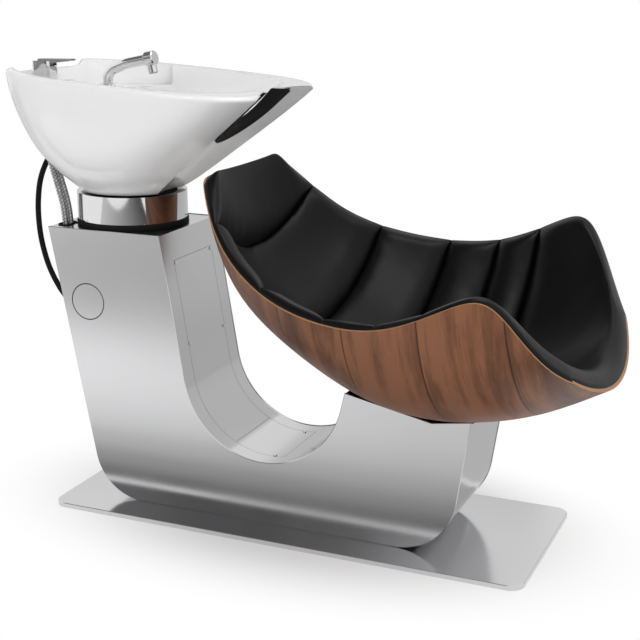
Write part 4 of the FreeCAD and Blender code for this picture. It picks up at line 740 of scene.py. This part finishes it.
def seat_point(u, share, inwards, beyond=0.0):
    """Point of the seat at u, at a share of the arc's span, moved inwards from the shell's outside.

    The arc may reach beyond the shell's rim, or stay inside it."""
    keel, up, radius, span = seat_section(u)
    angle = share * (span + beyond / radius)
    reach = radius - inwards
    rise = radius - reach * math.cos(angle)
    return np.array([keel[0] + up[0] * rise, reach * math.sin(angle), keel[1] + up[1] * rise])


def unit(vector):
    """Vector of length 1 in the same direction."""
    return vector / np.linalg.norm(vector)


def corner_edge(u, inner, radius, shares):
    """Station at which each column of a pad begins, where the seat's end has rounded corners."""
    corner = seat_point(u, 1, 0)
    across = unit(seat_point(u, 0.75, 0) - corner)
    along = unit(seat_point(inner, 1, 0) - corner)
    half = math.acos(np.dot(across, along)) / 2
    centre = corner + unit(across + along) * radius / math.sin(half)
    normal = unit(np.cross(across, along))
    starts = []
    for share in np.abs(shares):
        start = u
        if np.dot(seat_point(u, share, 0) - corner, across) < radius / math.tan(half):
            inside = u + 3 * (inner - u)
            for _ in range(24):
                middle = (start + inside) / 2
                place = seat_point(middle, share, PAD_BACK, -PAD_INSET) - centre
                if np.linalg.norm(place - normal * np.dot(place, normal)) > radius:
                    start = middle
                else:
                    inside = middle
        starts.append(start)
    return np.array(starts)


def round_over(distance, reach):
    """0 at an edge, rising like a quarter circle to 1."""
    t = np.clip(distance / reach, 0, 1)
    return np.sqrt(np.clip(1 - (1 - t) ** 2, 0, 1))


def ripple(a, b, seed):
    """Smooth irregular waves, about -1 to 1."""
    total = 0
    for i in range(5):
        angle = seed * 1.7 + i * 2.399
        rate = 1.0 + 0.55 * i
        along = a * math.cos(angle) + b * math.sin(angle)
        total = total + np.sin(rate * along + seed * 5.1 + i * 1.3) / (1 + 0.5 * i)
    return total / 2.2


def add_mesh(name, points, faces, material):
    """Mesh object in the row frame, from millimetres."""
    mesh = bpy.data.meshes.new(name)
    mesh.from_pydata([tuple(p) for p in np.asarray(points) / 1000], [], faces)
    mesh.validate()
    mesh.update()
    mesh.shade_smooth()
    mesh.materials.append(material)
    item = bpy.data.objects.new(name, mesh)
    scene.collection.objects.link(item)
    return item


def add_pad(name, first, last, seed):
    """One stuffed channel of the upholstery, round at its seams and rim, with puckers beside the seams."""
    rows = max(PAD_LEAST_ROWS, int(PAD_ROWS_PER_STATION * (last - first)))
    columns = PAD_COLUMNS
    # Closer rows beside the seams.
    t = np.linspace(0, 1, rows + 1)
    t = (t - PAD_ROW_CROWDING * np.sin(2 * math.pi * t))[:, None]
    sweep = np.linspace(-math.pi / 2, math.pi / 2, columns + 1) * PAD_COLUMN_SWEEP
    shares = np.sin(sweep) / math.sin(math.pi / 2 * PAD_COLUMN_SWEEP)
    starts, ends = np.full(columns + 1, first), np.full(columns + 1, last)
    if name == PAD_NAMES[0]:
        starts = corner_edge(first, first + SEAT_STEP, HEAD_CORNER, shares)
    if name == PAD_NAMES[-1]:
        ends = corner_edge(last, last - SEAT_STEP, LIP_CORNER, shares)
    us = starts + (ends - starts) * t
    base = np.array([[seat_point(u, s, PAD_BACK) for u, s in zip(row, shares)] for row in us])
    steps = np.linalg.norm(np.diff(base, axis=0), axis=2)
    from_first = np.vstack([np.zeros(columns + 1), np.cumsum(steps, axis=0)])
    to_last = from_first[-1] - from_first
    across = np.linalg.norm(np.diff(base, axis=1), axis=2)
    from_near = np.hstack([np.zeros((rows + 1, 1)), np.cumsum(across, axis=1)])
    to_far = from_near[:, -1:] - from_near
    seam = np.minimum(from_first, to_last)
    rim = np.minimum(from_near, to_far)
    width = from_first[-1]
    roll = np.minimum(SEAM_ROLL, 0.5 * width)
    fullness = round_over(seam, roll[None, :])
    edge = round_over(rim + 1.0, RIM_ROLL)
    crown = PAD_CROWN - PAD_CROWN_DROP * np.abs(shares)[None, :] ** 2
    thickness = PAD_SKIN + (crown - PAD_SKIN) * (SEAM_FILL + (1 - SEAM_FILL) * fullness) * edge
    sewn = to_last if name == PAD_NAMES[0] else from_first if name == PAD_NAMES[-1] else seam
    pucker = np.exp(-sewn / PUCKER_REACH) * (1 - np.exp(-sewn / PUCKER_START)) * edge
    waves = ripple(from_near / PUCKER_WAVES[0], seam / PUCKER_WAVES[1], seed)
    swells = ripple(from_near / SWELL_WAVES[0], from_first / SWELL_WAVES[1], seed + 3)
    thickness = thickness + PUCKER_HEIGHT * pucker * waves
    thickness = thickness + SWELL_HEIGHT * edge * fullness * swells
    thickness = np.maximum(thickness, PAD_LEAST)
    # The leather's edge laps over the inner part of the ply's edge.
    backs = np.full(columns + 1, PAD_BACK)
    backs[[0, -1]] = LIP_DEPTH
    thickness[:, [0, -1]] = 0
    thickness[:, [1, -2]] *= 0.6
    beyond = np.full(columns + 1, -PAD_INSET)
    beyond[[0, 1, -2, -1]] = LIP_GAP
    lip = np.zeros(columns + 1)
    lip[[0, 1, -2, -1]] = LIP_SHEET
    shares[[0, 1]], shares[[-2, -1]] = -1, 1
    top = np.empty_like(base)
    for i, row in enumerate(us):
        for j, (u, s) in enumerate(zip(row, shares)):
            top[i, j] = seat_point(u, s, backs[j] + thickness[i, j], beyond[j] + lip[j])
            base[i, j] = seat_point(u, s, backs[j], beyond[j])
    count = columns + 1
    size = (rows + 1) * count
    faces = []
    for i in range(rows):
        for j in range(columns):
            a = i * count + j
            quad = (a, a + 1, a + count + 1, a + count)
            faces.append(quad)
            faces.append(tuple(size + v for v in reversed(quad)))
    rim_loop = list(range(columns)) + [i * count + columns for i in range(rows)]
    rim_loop += [rows * count + j for j in range(columns, 0, -1)]
    rim_loop += [i * count for i in range(rows, 0, -1)]
    for a, b in zip(rim_loop, rim_loop[1:] + rim_loop[:1]):
        faces.append((b, a, size + a, size + b))
    points = np.vstack([top.reshape(-1, 3), base.reshape(-1, 3)])
    pad = add_mesh(name + "_leather", points, faces, MATERIALS["leather"])
    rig.ride(pad, "stand")
    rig.replaces(pad, name)
    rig.slot(pad, "leather")
    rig.padded(pad, fill=0.85)


def mark_ply_edge():
    """Pale ply on the narrow faces round the shell's rim."""
    shell = nodes["seat_shell"]
    mesh = shell.data
    samples, normals = [], []
    for u in np.linspace(CREASES[0], CREASES[-1], EDGE_STATIONS):
        keel, up, radius, span = seat_section(u)
        for s in np.linspace(-1, 1, EDGE_COLUMNS):
            samples.append(seat_point(u, s, SHELL_SHEET / 2))
            angle = s * span
            normals.append((up[0] * math.cos(angle), -math.sin(angle), up[1] * math.cos(angle)))
    samples, normals = np.array(samples) / 1000, np.array(normals)
    mesh.materials.append(PLY_EDGE)
    for face in mesh.polygons:
        centre = np.array(face.center)
        nearest = int(np.argmin(((samples - centre) ** 2).sum(axis=1)))
        if abs(float(np.dot(normals[nearest], np.array(face.normal)))) < EDGE_SLOPE:
            face.material_index = 1


# Hoses, with routes in millimetres

SPRAY_ROUTE = [
    (-500, 60, 845), (-501.5, 58.5, 805), (-524, 33, 773), (-558, -2, 764), (-590, -34, 745),
    (-609, -54, 690), (-615, -60, 628), (-612, -61, 560), (-594, -61, 492), (-560, -60, 434),
    (-508, -60, 394),
]
WASTE_ROUTE = [
    (-412, 0, 644.7), (-412, 0, 541.3), (-365.3, 0, 403.3),
    (-271.8, 0, 265.4), (-225, 0, 156.2), (-225, 0, 70),
]
HOSE = 12.0
WASTE_HOSE = 42.0
HOSE_STEP = 5
ARC_STEPS = 14
ARC_RUN = 0.45
WEAVE = (6, 7.0)


def supply_route(side):
    """Points of one supply hose, as in the CAD part."""
    return [
        (-577, -60 + side * 6.6, 871.7), (-576.5, -60 + side * 6.6, 809.7),
        (-570 + side * 2, -68 + side * 7, 754), (-546 + side * 2, -77 + side * 7, 694),
        (-527 + side * 2, -80 + side * 7, 637), (-523 + side * 2, -80 + side * 7, 567),
    ]


def hose_line(points):
    """Close points along the hose: straight runs joined by the largest tangent arcs."""
    points = np.array(points, float)
    line = [points[0]]
    for before, corner, after in zip(points, points[1:], points[2:]):
        back, ahead = before - corner, after - corner
        run = ARC_RUN * min(np.linalg.norm(back), np.linalg.norm(ahead))
        back, ahead = back / np.linalg.norm(back), ahead / np.linalg.norm(ahead)
        half = math.acos(np.clip(np.dot(back, ahead), -1, 1)) / 2
        radius = run * math.tan(half)
        bisector = (back + ahead) / np.linalg.norm(back + ahead)
        centre = corner + bisector * radius / math.sin(half)
        start, end = corner + back * run - centre, corner + ahead * run - centre
        turn = math.pi - 2 * half
        for i in range(ARC_STEPS + 1):
            t = i / ARC_STEPS
            arm = (start * math.sin((1 - t) * turn) + end * math.sin(t * turn)) / math.sin(turn)
            line.append(centre + arm)
    line.append(points[-1])
    # Even spacing.
    line = np.array(line)
    length = np.concatenate([[0], np.cumsum(np.linalg.norm(np.diff(line, axis=0), axis=1))])
    places = np.linspace(0, length[-1], int(length[-1] / HOSE_STEP) + 1)
    even = np.column_stack([np.interp(places, length, line[:, k]) for k in range(3)])
    return even, length[-1]


def add_hose(name, points, diameter, material, sides=20, weave=None):
    """Mesh tube along a hose's line, with weave coordinates if its sleeve is woven."""
    line, length = hose_line(points)
    tangents = np.gradient(line, axis=0)
    tangents /= np.linalg.norm(tangents, axis=1)[:, None]
    normal = np.cross(tangents[0], (0.3, 1, 0.1))
    ring_points = []
    for point, tangent in zip(line, tangents):
        normal = normal - tangent * np.dot(normal, tangent)
        normal /= np.linalg.norm(normal)
        side = np.cross(tangent, normal)
        for k in range(sides):
            angle = 2 * math.pi * k / sides
            ring_points.append(point + (normal * math.cos(angle) + side * math.sin(angle)) * diameter / 2)
    faces, places = [], []
    for i in range(len(line) - 1):
        for k in range(sides):
            n = (k + 1) % sides
            faces.append((i * sides + k, i * sides + n, (i + 1) * sides + n, (i + 1) * sides + k))
            places.append([(k, i), (k + 1, i), (k + 1, i + 1), (k, i + 1)])
    caps = [tuple(range(sides - 1, -1, -1)), tuple((len(line) - 1) * sides + k for k in range(sides))]
    tube = add_mesh(name, ring_points, faces + caps, material)
    if weave:
        layer = tube.data.uv_layers.new(name="weave")
        for face, corners in zip(tube.data.polygons, places):
            for loop, (k, i) in zip(face.loop_indices, corners):
                around, along = k / sides * weave[0], i * length / (len(line) - 1) / weave[1]
                layer.data[loop].uv = around + along * 0.5, along - around * 0.5
    return tube, line / 1000, length / 1000


def add_hoses():
    """Supply, spray and waste hoses, which bend with the basin's tilt."""
    for name, side in (("hot_supply_hose", 1), ("cold_supply_hose", -1)):
        tube, line, length = add_hose(name + "_braid", supply_route(side), HOSE, MATERIALS["braid"],
                                      weave=WEAVE)
        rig.blend(tube, "stand", "basin", start=(COLUMN_X, 0, LID_TOP), end=(COLUMN_X, 0, 0.82))
        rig.replaces(tube, name)
        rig.slot(tube, "braid")
        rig.cord(tube, exit=line[0], length=length, diameter=0.012, far_end="object",
                stiffness="stiff", lay="taut", path=line)
    tube, line, length = add_hose("spray_hose_rubber", SPRAY_ROUTE, HOSE, MATERIALS["rubber"])
    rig.blend(tube, "stand", "basin", start=(COLUMN_X, 0, 0.45), end=(COLUMN_X, 0, 0.80))
    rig.replaces(tube, "spray_hose")
    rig.slot(tube, "rubber")
    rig.cord(tube, exit=line[0], length=length, diameter=0.012, far_end="object",
            stiffness="medium", lay="hanging", path=line)
    tube, line, length = add_hose("waste_hose_tube", WASTE_ROUTE, WASTE_HOSE, MATERIALS["plastic_grey"],
                                  sides=32)
    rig.blend(tube, "stand", "basin", start=(COLUMN_X, 0, 0.48), end=(COLUMN_X, 0, 0.62))
    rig.replaces(tube, "waste_hose")
    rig.slot(tube, "plastic_grey")
    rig.cord(tube, exit=line[0], length=length, diameter=0.042, far_end="object",
            stiffness="stiff", lay="hanging", path=line)


def add_spray_tail():
    """End of the spray hose in its holder, drawn out through it as the hand spray is lifted."""
    corners = np.array([vertex.co for vertex in nodes["spray_tail"].data.vertices])
    low, high = corners.min(axis=0), corners.max(axis=0)
    foot = np.array([(low[0] + high[0]) / 2, (low[1] + high[1]) / 2, low[2]])
    head = np.array([foot[0], foot[1], high[2]])
    tube = add_hose("spray_tail_hose", [foot * 1000, head * 1000], HOSE, MATERIALS["rubber"])[0]
    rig.blend(tube, "basin", "spray", start=foot, end=head)
    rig.replaces(tube, "spray_tail")
    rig.slot(tube, "rubber")


SEAL_PROFILE = [
    (113.5, 599.2), (119.5, 599.2), (118.3, 603.0), (119.3, 606.5),
    (117.0, 611.6), (114.6, 611.6), (113.5, 606.5),
]
SEAL_SIDES = 96


def add_collar_seal():
    """Rubber gaiter between lid and collar, which gives with the tilt."""
    points, faces = [], []
    for k in range(SEAL_SIDES):
        angle = 2 * math.pi * k / SEAL_SIDES
        for radius, z in SEAL_PROFILE:
            points.append((COLUMN_X * 1000 + radius * math.cos(angle), radius * math.sin(angle), z))
    count = len(SEAL_PROFILE)
    for k in range(SEAL_SIDES):
        n = (k + 1) % SEAL_SIDES
        for i in range(count):
            j = (i + 1) % count
            faces.append((k * count + i, n * count + i, n * count + j, k * count + j))
    seal = add_mesh("collar_gaiter", points, faces, MATERIALS["rubber"])
    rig.blend(seal, "stand", "basin", start=(COLUMN_X, 0, LID_TOP), end=(COLUMN_X, 0, COLLAR_FOOT))
    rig.replaces(seal, "collar_seal")
    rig.slot(seal, "rubber")


# Neck rest

NOTCH_HALF = 0.050
NOTCH_AXIS_Z = 0.854
REST_WIDTH = 0.024
REST_TOP = 0.884
REST_SHEET = 0.0026
REST_STEP = 0.005
REST_CLEARANCE = 0.0002
NOTCH_MARGIN = 0.0005
NOTCH_FROM_COLUMN = 0.15
REST_CREASE = math.radians(50)
NODE_CREASE = math.radians(32)


def from_notch(point):
    """Distance outside the U-shaped channel for the neck."""
    if point.z > NOTCH_AXIS_Z:
        return abs(point.y) - NOTCH_HALF
    return math.hypot(point.y, point.z - NOTCH_AXIS_Z) - NOTCH_HALF


def keep_below(corners, height):
    """Part of a polygon of places and normals in which a height function is below zero."""
    kept = []
    for a, b in zip(corners, corners[1:] + corners[:1]):
        low, high = height(a[0]), height(b[0])
        if low <= 0:
            kept.append(a)
        if low * high < 0:
            share = low / (low - high)
            kept.append((a[0].lerp(b[0], share), a[1].lerp(b[1], share)))
    return kept


def fine_pieces(triangle):
    """Small triangles of places and normals that make up a triangle, where it lies beside the notch."""
    reach = NOTCH_HALF + REST_WIDTH
    waiting = [triangle]
    while waiting:
        corners = waiting.pop()
        xs, ys, zs = zip(*[corner[0] for corner in corners])
        beside = max(xs) > COLUMN_X + NOTCH_FROM_COLUMN and min(ys) < reach and max(ys) > -reach
        if not beside or min(zs) > REST_TOP or max(zs) < NOTCH_AXIS_Z - reach:
            continue
        lengths = [(corners[i][0] - corners[i - 1][0]).length for i in range(3)]
        longest = lengths.index(max(lengths))
        if lengths[longest] < REST_STEP:
            yield corners
            continue
        start, end, other = corners[longest - 1], corners[longest], corners[longest - 2]
        half = (start[0].lerp(end[0], 0.5), start[1].lerp(end[1], 0.5).normalized())
        waiting += [[start, half, other], [half, end, other]]


def add_neck_rest():
    """Rubber that laps over the ceramic on both sides of the notch, as a sheet that follows it."""
    basin = nodes["basin"].data
    places, faces = {}, []
    tops, feet = [], []
    pieces = []
    for face in basin.polygons:
        corners = [basin.vertices[i] for i in face.vertices]
        pieces += fine_pieces([(corner.co.copy(), corner.normal.copy()) for corner in corners])
    for corners in pieces:
        if from_notch(sum((place for place, normal in corners), Vector()) / 3) < NOTCH_MARGIN:
            continue
        corners = keep_below(corners, lambda point: from_notch(point) - REST_WIDTH)
        corners = keep_below(corners, lambda point: point.z - REST_TOP)
        if len(corners) < 3:
            continue
        loop = []
        for place, normal in corners:
            key = tuple(round(v, 5) for v in place)
            if key not in places:
                places[key] = len(places)
                tops.append((place + normal * REST_SHEET) * 1000)
                feet.append((place + normal * REST_CLEARANCE) * 1000)
            if places[key] not in loop:
                loop.append(places[key])
        if len(loop) > 2:
            faces.append(tuple(loop))
    edges = {(a, b) for loop in faces for a, b in zip(loop, loop[1:] + loop[:1])}
    count = len(tops)
    sides = [(b, a, count + a, count + b) for a, b in sorted(edges) if (b, a) not in edges]
    undersides = [tuple(count + i for i in reversed(loop)) for loop in faces]
    rest = add_mesh("neck_rest_lip", tops + feet, faces + undersides + sides, MATERIALS["rubber"])
    rest.data.set_sharp_from_angle(angle=REST_CREASE)
    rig.ride(rest, "basin")
    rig.slot(rest, "rubber")


# CAD nodes

def dress_nodes():
    """Every CAD node takes its slot's material and smooth shading with crisp edges."""
    slots = {row["node"]: row["material_slot"] for row in frame["record"]["subparts"]}
    for name, item in nodes.items():
        mesh = item.data
        mesh.materials.clear()
        mesh.materials.append(BLANK_STEEL if name == "blank_cover" else MATERIALS[slots[name]])
        mesh.shade_smooth()
        mesh.set_sharp_from_angle(angle=NODE_CREASE)


add_camera()
add_world()
add_floor()
add_area("key", (0.0, -3.6, 3.0), (-0.1, 0, 0.5), (2.2, 2.2), 70).visible_glossy = False
add_area("fill", (2.8, -2.2, 1.8), (0.2, 0, 0.5), (1.6, 2.4), 14).visible_glossy = False
add_area("top", (1.2, 0.3, 3.3), (0, 0, 0.4), (1.8, 1.6), 24)
add_area("back", (1.2, 3.0, 2.4), (0.1, 0, 0.6), (2.4, 1.4), 14).visible_glossy = False
# Shades that the polished steel mirrors: floor in front by depth, floor behind, walls by height or by width.
FLOOR_SHADES = [
    (-0.24, 0.22), (-0.33, 0.42), (-0.43, 0.66), (-0.56, 0.93), (-0.73, 1.06),
    (-1.0, 1.1), (-1.18, 0.98), (-1.38, 0.66), (-1.6, 0.48), (-3.6, 0.45),
]
FLOOR_LEFT, FLOOR_RIGHT = 1.45, 0.12
add_card("floor_card", [((-2.5, y, 0.002), (2.5, y, 0.002), shade * FLOOR_LEFT, shade * FLOOR_RIGHT)
                        for y, shade in FLOOR_SHADES])
add_card("rear_floor_card", [((-5, y, 0.002), (5, y, 0.002), 0.70, 0.44) for y in (0.24, 4.0)])
REAR_LEFT_SHADES = [(-0.2, 0.6), (0.9, 0.62), (1.6, 0.7), (2.0, 0.9), (3.4, 0.95)]
REAR_RIGHT_SHADES = [(-0.2, 0.6), (1.2, 0.64), (3.4, 0.62)]
add_card("rear_left_card", [((-6, 4.0, z), (-0.4, 4.0, z), shade, shade) for z, shade in REAR_LEFT_SHADES])
add_card("rear_right_card", [((-0.2, 4.0, z), (9, 4.0, z), shade, shade) for z, shade in REAR_RIGHT_SHADES])
add_card("roof_card", [((-4.5, y, 4.2), (0.2, y, 4.2), 0.15, 0.25) for y in (-3.6, 3.6)])
KEY_SHADES = [(-1.2, 1.5), (1.2, 1.5)]
add_card("key_card", [((x, -4.3, 2.2), (x, -2.9, 3.8), shade, shade) for x, shade in KEY_SHADES])
FRONT_SHADES = [(-7, 0.35), (-4.2, 0.30), (-2.6, 0.09), (-1.2, 0.12), (3, 0.3)]
add_card("front_card", [((x, -5.0, 0.0), (x, -5.0, 4.5), shade, shade) for x, shade in FRONT_SHADES])
dress_nodes()
mark_ply_edge()
for i, (name, first, last) in enumerate(zip(PAD_NAMES, CREASES, CREASES[1:])):
    add_pad(name, first, last, i + 1.0)
add_hoses()
add_spray_tail()
add_collar_seal()
add_neck_rest()

scene.view_settings.view_transform = "Standard"
scene.view_settings.look = "None"
scene.render.film_transparent = False

with open("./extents.json", "w") as out:
    json.dump({"cad": [list(p) for p in cad_box], "final": [list(p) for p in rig.bounds()]}, out)
